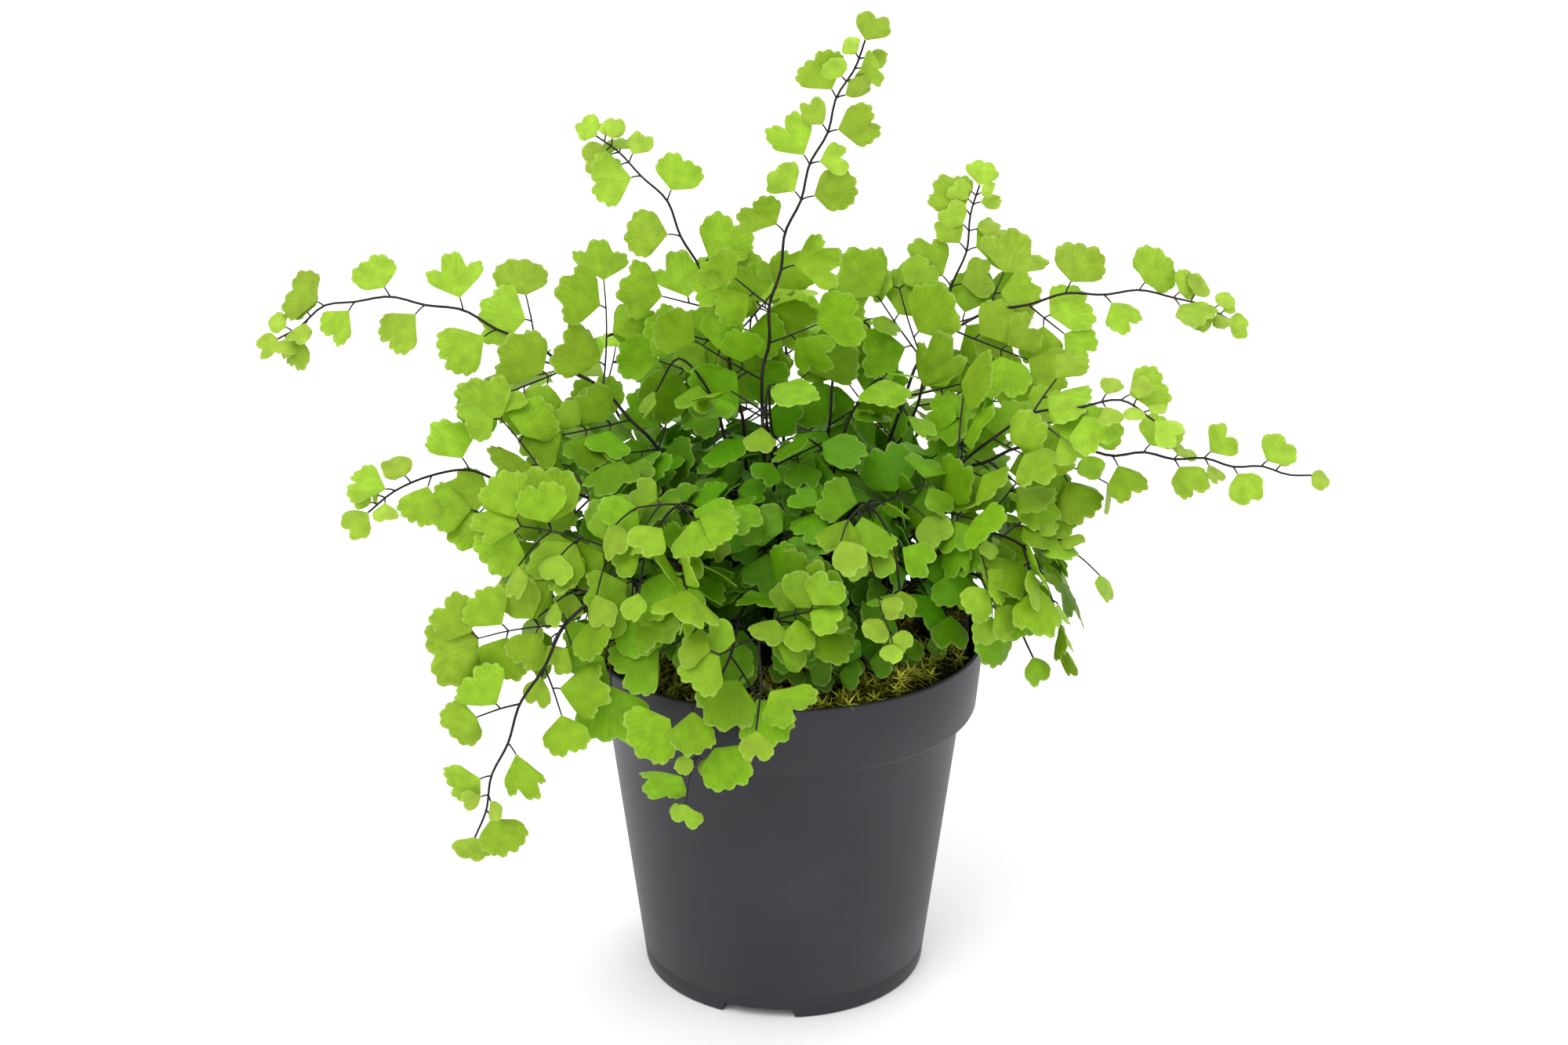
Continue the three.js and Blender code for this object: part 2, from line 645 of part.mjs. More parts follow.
// A side stalk with a leaflet at its tip and one at each joint, on one side and the other in turn.
function growBranch(thicket, plant, k, base, frame, angle, size) {
  let best = { clear: 0, joints: [] };
  for (const swing of SWINGS) {
    const joints = sideJoints(plant, k, base, frame, angle, swing, size);
    const clear = clearPieces(thicket, joints, plant.owner);
    if (clear > best.clear) best = { clear, joints };
    if (clear === plant.frond.sides[k]) break;
  }
  if (best.clear === 0) return null;
  const joints = best.joints.slice(0, best.clear + 1);
  for (let j = 1; j < joints.length; j += 1) {
    thicket.addRod(joints[j - 1], joints[j], THIN_HALF_WIDTH, plant.owner);
  }
  const leaves = joints.map(() => null);
  for (let j = best.clear; j > 0; j -= 1) {
    const direction = joints[j].clone().sub(joints[j - 1]).normalize();
    const length = size * spread(JOINT_LEAF_SIZE_SPREAD, plant.frond.seed, k * 31 + j + 9);
    const sideways = cross(frame.face, direction).normalize().multiplyScalar(jointSide(j, k));
    const isTip = j === best.clear;
    const leafDirection = isTip ? direction : turnedTowards(direction, sideways, JOINT_LEAF_ANGLE);
    const petiole = isTip ? 0 : JOINT_PETIOLE_SHARE * length;
    const leafBase = joints[j].clone().addScaledVector(leafDirection, petiole);
    const outside = isTip ? direction : sideways;
    const key = k * 31 + j + 11;
    leaves[j] = growLeaf(thicket, plant, leafBase, leafDirection, outside, frame.face, length, key);
  }
  return { joints, leaves, face: frame.face, k };
}

function jointSide(j, k) {
  return (j + k) % 2 ? 1 : -1;
}

// Grows a frond from its tip down to its lowest side stalk.
function growFrond(thicket, plant) {
  const { frond, stalk, nodes, shares } = plant;
  const count = frond.sides.length;
  for (let k = count; k >= 0; k -= 1) {
    const share = k / count;
    const taper = 1 - LEAF_TAPER * share ** 2.2;
    const size = frond.leaflet * taper * spread(LEAF_SIZE_SPREAD, frond.seed, k * 7 + 1);
    const angle = SIDE_ANGLE - SIDE_ANGLE_FALL * share;
    if (k === count) {
      const { along, face } = stalk.frameAt(1);
      plant.tipLeaf = growLeaf(thicket, plant, nodes.at(-1), along, along, face, size, k * 7 + 2);
    } else {
      const grow = frond.sides[k] === 1 ? growSingle : growBranch;
      const base = nodes[BARE_SHARES.length + k];
      plant.sides[k] = grow(thicket, plant, k, base, stalk.frameAt(shares[k]), angle, size);
    }
  }
}

// All stalks are set first, so that every leaflet keeps clear of every stalk.
function growAll(fronds) {
  const thicket = new Thicket();
  const plants = fronds.map((frond, owner) => {
    const stalk = stalkOf(frond);
    const { nodes, shares } = stalkNodes(frond, stalk);
    nodes.slice(1).forEach((node, i) => thicket.addRod(nodes[i], node, STALK_HALF_WIDTH, owner));
    return { frond, owner, stalk, nodes, shares, sides: [], tipLeaf: null };
  });
  plants.forEach((plant) => growFrond(thicket, plant));
  return plants;
}

// The skin of a frond: one closed surface that runs up the stalk ring by ring, each ring four corners.
// What stands at a side grows on from the four corners of a face that the stalk leaves open.
class Skin {
  corners = [];
  faces = [];

  // A square ring round the direction along. Face 3 looks along the reference and face 1 against it.
  ring(centre, along, reference, halfWidth) {
    const first = reference.clone().addScaledVector(along, -reference.dot(along)).normalize();
    const second = cross(along, first);
    return [[1, 1], [-1, 1], [-1, -1], [1, -1]].map(([a, b]) => this.corner(centre.clone()
      .addScaledVector(first, a * halfWidth)
      .addScaledVector(second, b * halfWidth)));
  }

  corner(point) {
    this.corners.push(point);
    return this.corners.length - 1;
  }

  quad(a, b, c, d) {
    this.faces.push(a, b, c, a, c, d);
  }

  // Four faces between two rings, without the one that is left open.
  band(lower, upper, open = -1) {
    for (let k = 0; k < 4; k += 1) {
      const next = (k + 1) % 4;
      if (k !== open) this.quad(lower[k], lower[next], upper[next], upper[k]);
    }
  }

  // The corners of the face that a band leaves open, as a ring that looks outwards.
  opening(lower, upper, face) {
    const next = (face + 1) % 4;
    return [lower[face], lower[next], upper[next], upper[face]];
  }

  // The ring started at the corner that brings its corners nearest to the target's.
  matched(ring, target) {
    const turns = [0, 1, 2, 3].map((turn) => ring.map((_, k) => ring[(k + turn) % 4]));
    const distance = (turn) => turn.reduce((sum, corner, k) => (
      sum + this.corners[corner].distanceTo(target[k])), 0);
    return turns.reduce((best, turn) => (distance(turn) < distance(best) ? turn : best));
  }

  // Runs on from one ring to another.
  reach(from, to) {
    this.band(this.matched(from, to.map((corner) => this.corners[corner])), to);
    return to;
  }

  close(ring) {
    this.quad(...ring);
  }

  geometry() {
    const geometry = new THREE.BufferGeometry().setFromPoints(this.corners);
    geometry.setIndex(this.faces);
    return geometry;
  }
}

// The leaflet's rim as a share of its size, over the fan from one corner (0) to the other (1).
function rimShare(x, lobes) {
  const fall = 1 - LEAF_CORNER_FALL * Math.abs(2 * x - 1) ** 2.4;
  const isCorner = x === 0 || x === 1;
  const notch = isCorner ? 0 : LEAF_NOTCH_DEPTH * (1 - Math.abs(Math.sin(lobes * Math.PI * x)) ** 0.45);
  return fall * (1 - notch);
}

// Places on the rim that draw the lobes with the notches between them.
function rimPlaces(leaf) {
  if (leaf.size < SMALL_LEAF) return [0, 0.27, 0.5, 0.73, 1];
  return leaf.lobes === 3 ? [0, 1 / 6, 1 / 3, 1 / 2, 2 / 3, 5 / 6, 1] : [0, 0.16, 0.36, 0.5, 0.64, 0.84, 1];
}

// A thin blade that widens from a ring to its lobed rim, alike on its upper and lower face.
function skinLeaf(skin, ring, leaf) {
  const width = cross(leaf.normal, leaf.direction);
  const thickness = LEAF_THICKNESS / 2;
  const rim = rimPlaces(leaf).map((x) => {
    const angle = radians(leaf.halfAngle * (2 * x - 1));
    const radius = leaf.size * rimShare(x, leaf.lobes);
    return leaf.base.clone()
      .addScaledVector(leaf.direction, radius * Math.cos(angle))
      .addScaledVector(width, radius * Math.sin(angle));
  });
  const upper = rim.map((point) => skin.corner(point.clone().addScaledVector(leaf.normal, thickness)));
  const lower = rim.map((point) => skin.corner(point.clone().addScaledVector(leaf.normal, -thickness)));
  const neck = [[1, 1], [-1, 1], [-1, -1], [1, -1]].map(([a, b]) => leaf.base.clone()
    .addScaledVector(width, a * thickness)
    .addScaledVector(leaf.normal, b * thickness));
  const [upperLeft, upperRight, lowerRight, lowerLeft] = skin.matched(ring, neck);
  const last = rim.length - 1;
  const middle = last / 2;
  for (let i = 0; i < last; i += 1) {
    const [above, below] = i < middle ? [upperRight, lowerRight] : [upperLeft, lowerLeft];
    skin.faces.push(above, upper[i], upper[i + 1], below, lower[i + 1], lower[i]);
    skin.quad(lower[i], lower[i + 1], upper[i + 1], upper[i]);
  }
  skin.faces.push(upperRight, upper[middle], upperLeft, lowerRight, lowerLeft, lower[middle]);
  skin.quad(lowerRight, lower[0], upper[0], upperRight);
  skin.quad(lower[last], lowerLeft, upperLeft, upper[last]);
}

// Grows the skin over a stalk from its first ring. Each station is a point of the stalk, with its
// half width and what stands there: the face that it stands on and a function that skins it.
function skinStalk(skin, first, before, stations, reference) {
  let ring = first;
  stations.forEach(({ point, halfWidth, side }, i) => {
    const behind = i > 0 ? stations[i - 1].point : before;
    const ahead = i + 1 < stations.length ? stations[i + 1].point : point;
    const along = ahead.clone().sub(behind).normalize();
    const ringAt = (shift) => skin.ring(
      point.clone().addScaledVector(along, shift), along, reference, halfWidth);
    if (!side) {
      ring = skin.reach(ring, ringAt(0));
      return;
    }
    const lower = skin.reach(ring, ringAt(-SIDE_HALF_BASE));
    ring = ringAt(SIDE_HALF_BASE);
    skin.band(lower, ring, side.face);
    side.skin(skin.opening(lower, ring, side.face));
  });
  return ring;
}

function skinSideStalk(skin, ring, sideStalk) {
  const { joints, leaves, face, k } = sideStalk;
  const last = joints.length - 1;
  const reference = cross(face, joints[last].clone().sub(joints[0])).normalize();
  const stations = joints.slice(1).map((point, i) => {
    const leaf = leaves[i + 1];
    const carries = leaf && i + 1 < last;
    const side = { face: jointSide(i + 1, k) > 0 ? 3 : 1, skin: (opening) => skinLeaf(skin, opening, leaf) };
    return { point, halfWidth: THIN_HALF_WIDTH, side: carries ? side : null };
  });
  const end = skinStalk(skin, ring, joints[0], stations, reference);
  if (leaves[last]) skinLeaf(skin, end, leaves[last]);
  else skin.close(end);
}

function frondMesh(plant) {
  const { frond, nodes, sides, tipLeaf } = plant;
  const skin = new Skin();
  const reference = vector(...frond.across);
  const halfWidth = (i) => THREE.MathUtils.lerp(STALK_HALF_WIDTH, THIN_HALF_WIDTH, i / (nodes.length - 1));
  const along = nodes[1].clone().sub(nodes[0]).normalize();
  const root = skin.ring(nodes[0], along, reference, halfWidth(0));
  skin.close(root.toReversed());
  const stations = nodes.slice(1).map((point, i) => {
    const k = i + 1 - BARE_SHARES.length;
    const sideStalk = sides[k];
    const side = sideStalk && {
      face: sideOf(frond, k) > 0 ? 3 : 1,
      skin: (opening) => skinSideStalk(skin, opening, sideStalk),
    };
    return { point, halfWidth: halfWidth(i + 1), side };
  });
  const end = skinStalk(skin, root, nodes[0], stations, reference);
  if (tipLeaf) skinLeaf(skin, end, tipLeaf);
  else skin.close(end);
  return new THREE.Mesh(skin.geometry(), LEAF_GREEN);
}

// The hole in the rhizome that a stalk stands in, wider and deeper than the stalk by the gap.
function stalkHole(plant) {
  const [root, next] = plant.nodes;
  const along = next.clone().sub(root).normalize();
  const reference = vector(...plant.frond.across);
  const skin = new Skin();
  const halfWidth = STALK_HALF_WIDTH + GAP;
  const bottom = skin.ring(root.clone().addScaledVector(along, -GAP), along, reference, halfWidth);
  const top = skin.ring(next, along, reference, halfWidth);
  skin.close(bottom.toReversed());
  skin.band(bottom, top);
  skin.close(top);
  return solidOf(skin.geometry());
}

function named(mesh, name) {
  mesh.name = name;
  return mesh;
}

const plants = growAll([...OUTER_FRONDS, ...RINGS.flatMap(ringFronds)]);

const fern = new THREE.Group();
fern.add(named(pot(), 'pot'));
fern.add(named(soil(), 'soil'));
fern.add(named(moss(), 'moss'));
fern.add(named(rhizome(plants.map(stalkHole)), 'rhizome'));
plants.forEach((plant) => fern.add(named(frondMesh(plant), `frond_${plant.frond.name}`)));

export default fern;
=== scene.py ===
"""A maidenhair fern in a plain nursery pot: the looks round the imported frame.

Sizes are millimetres until a mesh is made, which is in metres. +Z is up, -Y is the front, and
the origin is on the floor on the pot's axis.
"""

import itertools
import logging
import math
from dataclasses import dataclass, field
from enum import Enum

import bpy
import numpy as np
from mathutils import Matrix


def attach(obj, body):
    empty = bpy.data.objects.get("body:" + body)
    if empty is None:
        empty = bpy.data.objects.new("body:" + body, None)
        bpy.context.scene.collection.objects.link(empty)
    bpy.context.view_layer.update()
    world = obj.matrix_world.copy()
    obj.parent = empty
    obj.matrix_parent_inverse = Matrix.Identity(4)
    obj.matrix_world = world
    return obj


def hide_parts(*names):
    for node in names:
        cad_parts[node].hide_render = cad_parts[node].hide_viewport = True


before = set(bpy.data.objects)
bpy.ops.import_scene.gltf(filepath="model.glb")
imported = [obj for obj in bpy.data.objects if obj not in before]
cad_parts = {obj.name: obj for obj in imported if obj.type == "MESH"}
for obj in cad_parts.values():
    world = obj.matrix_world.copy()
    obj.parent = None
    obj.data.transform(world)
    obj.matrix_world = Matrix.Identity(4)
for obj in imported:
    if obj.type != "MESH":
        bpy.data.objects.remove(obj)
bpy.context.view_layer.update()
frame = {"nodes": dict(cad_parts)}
LOG = logging.getLogger("fern")

MM = 0.001

# The pot and its filling, as in the solids
POT_HEIGHT = 107.0
RIM_RADIUS = 60.0
NECK_RADIUS = 53.9
COLLAR_HEIGHT = 21.0
COLLAR_FOOT_RADIUS = 58.2
FOOT_RADIUS = 43.4
POT_WALL = 1.4
SOIL_GAP = 0.35
BED_RADIUS = 56.0
MOSS_INNER_RADIUS = 34.5
MOSS_MIDDLE = 112
MOSS_FALL = 12
ROOT_HEIGHT = 98.0

# The rule by which stalks and leaflets grow, as in the solids: half widths and steps in
# millimetres, angles in degrees, and shares of a leaflet's or a stalk's length
STALK_HALF_WIDTH = 0.65
BARE_SHARES = (0, 0.33, 0.67)
ZIGZAG = 0.7
STALK_CROWDING = 1.1
SIDE_ANGLE = 64
SIDE_ANGLE_FALL = 18
SIDE_LIFT_SPREAD = 16
SIDE_LEAN = 0.08
SIDE_DROOP = 0.05
SIDE_WANDER = 0.1
SWINGS = (0, 14, -14, 28, -28, 44, -44)
PETIOLE_SHARE = 0.32
JOINT_SHARE = 0.62
FIRST_JOINT_SHARE = 0.8
JOINT_PETIOLE_SHARE = 0.14
JOINT_LEAF_ANGLE = 66
CLUMP_FOOT = 84.0
LEAF_DROOP = 0.35
LEAF_TWIST_SPREAD = 30
LEAF_PITCH_SPREAD = 20
LEAF_HALF_ANGLE = 46
LEAF_ANGLE_SPREAD = 16
THREE_LOBED_SIZE = 12.6

# What the fronds are filled out with
DOME_FACING = 0.5
SPRIG_SLENDER = 0.6
HAIR_HALF_WIDTH = 0.2
YOUNG_CHANCE = 0.85
GAP_DRAWS = 1600
HEART = (0, 0, 138.0)
HEART_SIZE = (62, 56, 40)

# How the camera looks down, and the seen heights that blades keep above so that the moss shows
VIEW_SLOPE = 0.39
SEEN_FROM_LEFT = 101
SEEN_FROM_RIGHT = 123
YOUNG_SEEN_FROM = 106

# The clump by which the blades' colours are painted: painted shade in its heart and low over the pot, painted
# light outside
CLUMP_MIDDLE = (0, 0, 108)
CLUMP_HALF_SIZE = (96, 80, 98)
LOW_SHADE = 0.52

GOLDEN_ANGLE = 2.39996

Array = np.ndarray
Colour = tuple[float, float, float, float]


# Numbers and vectors


def draw(seed: int, n: int) -> float:
    """A fixed draw between 0 and 1: the fraction of a large multiple of the sine of two numbers."""
    x = math.sin(seed * 12.9898 + n * 78.233) * 43758.5453
    return x - math.floor(x)


def draws(numbers: Array, count: int, step: float, shift: float = 0.0) -> Array:
    """Fixed draws between 0 and 1 for an array of numbers, shaped (count, numbers)."""
    waves = np.sin(numbers * 12.9898 + np.arange(count)[:, None] * step + shift)
    return np.modf(np.abs(waves) * 4375.85453)[0]


def spread(width: float, seed: int, n: int) -> float:
    """A factor round 1, drawn from a range of the given width."""
    return 1 + width * (draw(seed, n) - 0.5)


def unit(v: Array) -> Array:
    """The vectors along the last axis, made one long."""
    return v / np.linalg.norm(v, axis=-1, keepdims=True)


def dot(a: Array, b: Array) -> Array:
    """The dot products along the last axis."""
    return np.sum(a * b, axis=-1)


def turned_towards(direction: Array, other: Array, degrees: float) -> Array:
    """A direction turned towards another, square to it, by an angle in degrees."""
    angle = math.radians(degrees)
    return unit(direction * math.cos(angle) + other * math.sin(angle))


def seen_height(place: Array) -> float:
    """The height at which the camera's view through a place meets the pot's middle."""
    return place[2] + VIEW_SLOPE * place[1]


# Meshes


def linear(hex_colour: str) -> Colour:
    """Turns an sRGB hex colour to linear light.

    Args:
        hex_colour: such as "#45444a".

    Returns:
        Red, green, blue and alpha.
    """
    parts = [int(hex_colour[i:i + 2], 16) / 255 for i in (1, 3, 5)]
    red, green, blue = (p / 12.92 if p <= 0.04045 else ((p + 0.055) / 1.055) ** 2.4 for p in parts)
    return (red, green, blue, 1.0)


@dataclass
class Surface:
    """Points in millimetres and the faces between them, with what each point carries."""

    points: Array
    faces: list[Array]
    uv: Array | None = None
    tone: Array | None = None

    def joined(self, others: "list[Surface]") -> "Surface":
        """This surface and others as one, with the faces' numbers moved on.

        Args:
            others: surfaces that carry what this one carries.

        Returns:
            The whole surface.
        """
        parts = [self, *others]
        starts = np.cumsum([0] + [len(part.points) for part in parts])
        return Surface(
            np.vstack([part.points for part in parts]),
            [face + start for part, start in zip(parts, starts) for face in part.faces],
            None if self.uv is None else np.vstack([part.uv for part in parts]),
            None if self.tone is None else np.vstack([part.tone for part in parts]),
        )


def make_piece(name: str, surface: Surface, finish: bpy.types.Material,
               nodes: tuple[str, ...], sharp: float = 40.0) -> bpy.types.Object:
    """Puts a surface into a mesh in metres and hands the piece to the frame.

    Args:
        name: the piece's name.
        surface: its points and faces, and what the points carry.
        finish: its material.
        nodes: the CAD nodes that it stands for.
        sharp: edges that turn by more degrees than this stay crisp.

    Returns:
        The piece, at the origin.
    """
    mesh = filled_mesh(name, surface)
    corners = np.concatenate([group.ravel() for group in surface.faces])
    if surface.uv is not None:
        mesh.uv_layers.new(name="UVMap").data.foreach_set("uv", surface.uv[corners].ravel())
    if surface.tone is not None:
        tone = mesh.attributes.new("tone", "FLOAT_COLOR", "POINT")
        tone.data.foreach_set("color", surface.tone.astype(np.float32).ravel())
    mesh.polygons.foreach_set("use_smooth", np.ones(len(mesh.polygons), bool))
    mesh.set_sharp_from_angle(angle=math.radians(sharp))
    mesh.materials.append(finish)
    mesh.update()
    piece = add_object(name, mesh)
    hand_over(piece, nodes)
    return piece


def add_object(name: str, data: bpy.types.ID) -> bpy.types.Object:
    """Puts a mesh, a lamp or a camera into the scene, at the origin.

    Args:
        name: the object's name.
        data: the mesh, lamp or camera.

    Returns:
        The object.
    """
    thing = bpy.data.objects.new(name, data)
    bpy.context.scene.collection.objects.link(thing)
    return thing


def filled_mesh(name: str, surface: Surface) -> bpy.types.Mesh:
    """A mesh in metres with a surface's points and faces.

    Args:
        name: the mesh's name.
        surface: its points in millimetres and its faces.

    Returns:
        The mesh.
    """
    mesh = bpy.data.meshes.new(name)
    faces = [row for group in surface.faces for row in group.tolist()]
    mesh.from_pydata((surface.points * MM).tolist(), [], faces)
    return mesh


def hand_over(piece: bpy.types.Object, nodes: tuple[str, ...]) -> None:
    """Rides the piece on the body, says what it stands for, and reports it.

    Args:
        piece: the finished piece.
        nodes: the CAD nodes that it stands for.
    """
    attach(piece, "root")
    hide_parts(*nodes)
    LOG.info("%s: %d faces for %s", piece.name, len(piece.data.polygons), ", ".join(nodes))


def tubes(paths: Array, radii: Array, sides: int) -> Surface:
    """Round tubes along paths, closed at both ends.

    A point is the path's point plus the radius times the cosine of the turn along one direction
    square to the path and its sine along the other. The first of them is the normal of the plane
    that the path bends in, made square to the path.

    Args:
        paths: points of each path, shaped (paths, stations, 3).
        radii: the radius at each station, shaped (paths, stations).
        sides: corners round a tube.

    Returns:
        The tubes' surface. Its UV holds the turn and the share of the length.
    """
    count, stations, _ = paths.shape
    along = unit(np.gradient(paths, axis=1))
    chord = paths[:, -1] - paths[:, 0]
    plane = np.cross(chord, paths[:, stations // 2] - paths[:, 0])
    length = np.linalg.norm(chord, axis=1, keepdims=True)
    upright = np.abs(chord[:, 2:]) > 0.9 * length
    spare = np.cross(chord, np.where(upright, [1.0, 0, 0], [0, 0, 1.0]))
    straight = np.linalg.norm(plane, axis=1, keepdims=True) < 1e-3 * length ** 2
    reference = np.where(straight, spare, plane)[:, None, :]
    first = unit(reference - along * dot(reference, along)[..., None])
    second = np.cross(along, first)
    turn = np.arange(sides) * 2 * np.pi / sides
    ring = first[:, :, None] * np.cos(turn)[:, None] + second[:, :, None] * np.sin(turn)[:, None]
    points = paths[:, :, None] + ring * radii[:, :, None, None]
    index = np.arange(count * stations * sides).reshape(count, stations, sides)
    after = np.roll(index, -1, axis=2)
    walls = np.stack([index[:, :-1], after[:, :-1], after[:, 1:], index[:, 1:]], axis=-1).reshape(-1, 4)
    share = np.broadcast_to(np.linspace(0, 1, stations)[None, :, None], index.shape)
    round_share = np.broadcast_to(turn[None, None, :] / (2 * np.pi), index.shape)
    uv = np.stack([round_share, share], axis=-1).reshape(-1, 2)
    return Surface(points.reshape(-1, 3), [walls, index[:, 0, ::-1], index[:, -1]], uv)


def turned(radius: Array, height: Array) -> Surface:
    """A closed solid of revolution whose outline starts and ends on the axis.

    A point stands at the outline's radius in the direction of its turn, and at its height.

    Args:
        radius: the outline's radii, shaped (rows, columns), the first and last row zero.
        height: its heights, of the same shape.

    Returns:
        The surface, with one point at each pole.
    """
    rows, columns = radius.shape
    turn = np.linspace(0, 2 * np.pi, columns, endpoint=False)
    body = np.stack([radius * np.cos(turn), radius * np.sin(turn), height], axis=-1)[1:-1].reshape(-1, 3)
    poles = np.array([[0, 0, height[0].mean()], [0, 0, height[-1].mean()]])
    index = np.arange((rows - 2) * columns).reshape(rows - 2, columns)
    after = np.roll(index, -1, axis=1)
    walls = np.stack([index[:-1], after[:-1], after[1:], index[1:]], axis=-1).reshape(-1, 4)
    low, high = len(body), len(body) + 1
    fan_low = np.stack([np.full(columns, low), after[0], index[0]], axis=-1)
    fan_high = np.stack([np.full(columns, high), index[-1], after[-1]], axis=-1)
    return Surface(np.vstack([body, poles]), [walls, fan_low, fan_high])


# Finishes


@dataclass
class Recipe:
    """A material that is being put together from nodes."""

    name: str
    material: bpy.types.Material = field(init=False)

    def __post_init__(self) -> None:
        """Starts the material with an empty tree."""
        self.material = bpy.data.materials.new(self.name)
        self.material.use_nodes = True
        self.material.node_tree.nodes.clear()

    def add(self, kind: str, inputs: dict | None = None, out: int | str = 0,
            stops: tuple[tuple[float, str], ...] = (), **settings: object) -> bpy.types.NodeSocket:
        """Adds a shader node.

        Args:
            kind: the node's Blender type name, without "ShaderNode".
            inputs: for each input, by name or number, a value or the socket that feeds it.
            out: which of its outputs is wanted, by name or number.
            stops: a colour ramp's places and hex colours.
            settings: the node's own settings.

        Returns:
            The node's output socket, or None for a node that has none.
        """
        tree = self.material.node_tree
        node = tree.nodes.new("ShaderNode" + kind)
        for name, value in settings.items():
            setattr(node, name, value)
        for name, value in (inputs or {}).items():
            if isinstance(value, bpy.types.NodeSocket):
                tree.links.new(value, node.inputs[name])
            else:
                node.inputs[name].default_value = value
        for k, (place, colour) in enumerate(stops):
            ramp = node.color_ramp.elements
            element = ramp[k] if k < len(ramp) else ramp.new(place)
            element.position, element.color = place, linear(colour)
        return node.outputs[out] if node.outputs else None


@dataclass(frozen=True)
class FernBlade:
    """Living maidenhair blade: a thin, matt, light-passing leaf with veins that fan out.

    It gives the eye a soft yellow-green that glows where light comes through, darker green painted
    as shade in the heart of the plant, lighter green painted as light far out, faint fanned veins,
    cloudy patches and a thin pale rim.
    """

    # Painted shade and light: heart is dark green painted on blades in the clump's shaded heart, middle the
    # green between, and outside the lighter green painted on blades out in the light
    heart: str = "#356f02"
    middle: str = "#659f06"
    outside: str = "#94bc1e"
    # young is the pale green of young blades; it is also mixed in as painted light on blades far out of the
    # clump
    young: str = "#bcd650"
    rim: str = "#d3e58c"
    veins: float = 17.0
    cloud_mm: float = 3.4
    glow: float = 0.36

    def build(self) -> bpy.types.Material:
        """Builds the blade's material.

        The first colour is painted shade and light: by the painted light share it runs from the heart's
        dark green, painted where the clump's heart lies in shade, to the lighter outside green painted on
        blades that stand out. The young colour is mixed in by the leaflet's youth, which also carries
        painted paleness for blades far out. Its own chance shifts the hue and the brightness. Veins are
        the upper half of a sine of the share across the fan, and the rim is where the reach nears one.

        Returns:
            The material.
        """
        recipe = Recipe("fern_blade")
        add = recipe.add
        tone = add("Attribute", {}, "Color", attribute_name="tone")
        chance = add("SeparateColor", {0: tone}, 0)
        # Painted light share: 0 paints the clump's shaded heart dark, 1 paints the lit outside lighter
        painted_light = add("SeparateColor", {0: tone}, 1)
        # Youth, which also carries painted paleness on blades far out of the clump
        youth = add("SeparateColor", {0: tone}, 2)
        body = add("ValToRGB", {0: painted_light}, stops=(
            (0.0, self.heart), (0.5, self.middle), (1.0, self.outside)))
        body = add("Mix", {0: youth, 6: body, 7: linear(self.young)}, 2, data_type="RGBA")
        hue = add("MapRange", {0: chance, 3: 0.497, 4: 0.508})
        bright = add("MapRange", {0: chance, 3: 0.84, 4: 1.16})
        body = add("HueSaturation", {"Hue": hue, "Value": bright, "Color": body})
        place = add("TexCoord", {}, "Object")
        cloud = add("TexNoise", {"Vector": place, "Scale": 1 / (self.cloud_mm * MM), "Detail": 3.0})
        light = add("MapRange", {0: cloud, 1: 0.3, 2: 0.7, 3: 0.85, 4: 1.13})
        body = add("HueSaturation", {"Value": light, "Color": body})
        spot = add("UVMap", {}, uv_map="UVMap")
        across = add("SeparateXYZ", {0: spot}, 0)
        reach = add("SeparateXYZ", {0: spot}, 1)
        stray = add("Math", {0: cloud, 1: 5.0}, operation="MULTIPLY")
        turn = add("Math", {0: across, 1: self.veins * 2 * math.pi, 2: stray}, operation="MULTIPLY_ADD")
        wave = add("Math", {0: turn}, operation="SINE")
        vein = add("MapRange", {0: wave, 1: 0.0, 2: 1.0, 3: 0.0, 4: 0.12})
        body = add("Mix", {0: vein, 6: body, 7: linear(self.heart)}, 2, data_type="RGBA")
        edge = add("MapRange", {0: reach, 1: 0.95, 2: 1.0, 3: 0.0, 4: 0.24})
        body = add("Mix", {0: edge, 6: body, 7: linear(self.rim)}, 2, data_type="RGBA")
        bump = add("Bump", {"Height": vein, "Strength": 0.5, "Distance": 0.3 * MM})
        skin = add("BsdfPrincipled", {"Base Color": body, "Roughness": 0.48,
                                      "Specular IOR Level": 0.18, "Normal": bump})
        through = add("Mix", {0: 0.3, 6: body, 7: linear(self.young)}, 2, data_type="RGBA")
        passed = add("BsdfTranslucent", {"Color": through, "Normal": bump})
        blade = add("MixShader", {0: self.glow, 1: skin, 2: passed})
        add("OutputMaterial", {"Surface": blade})
        return recipe.material


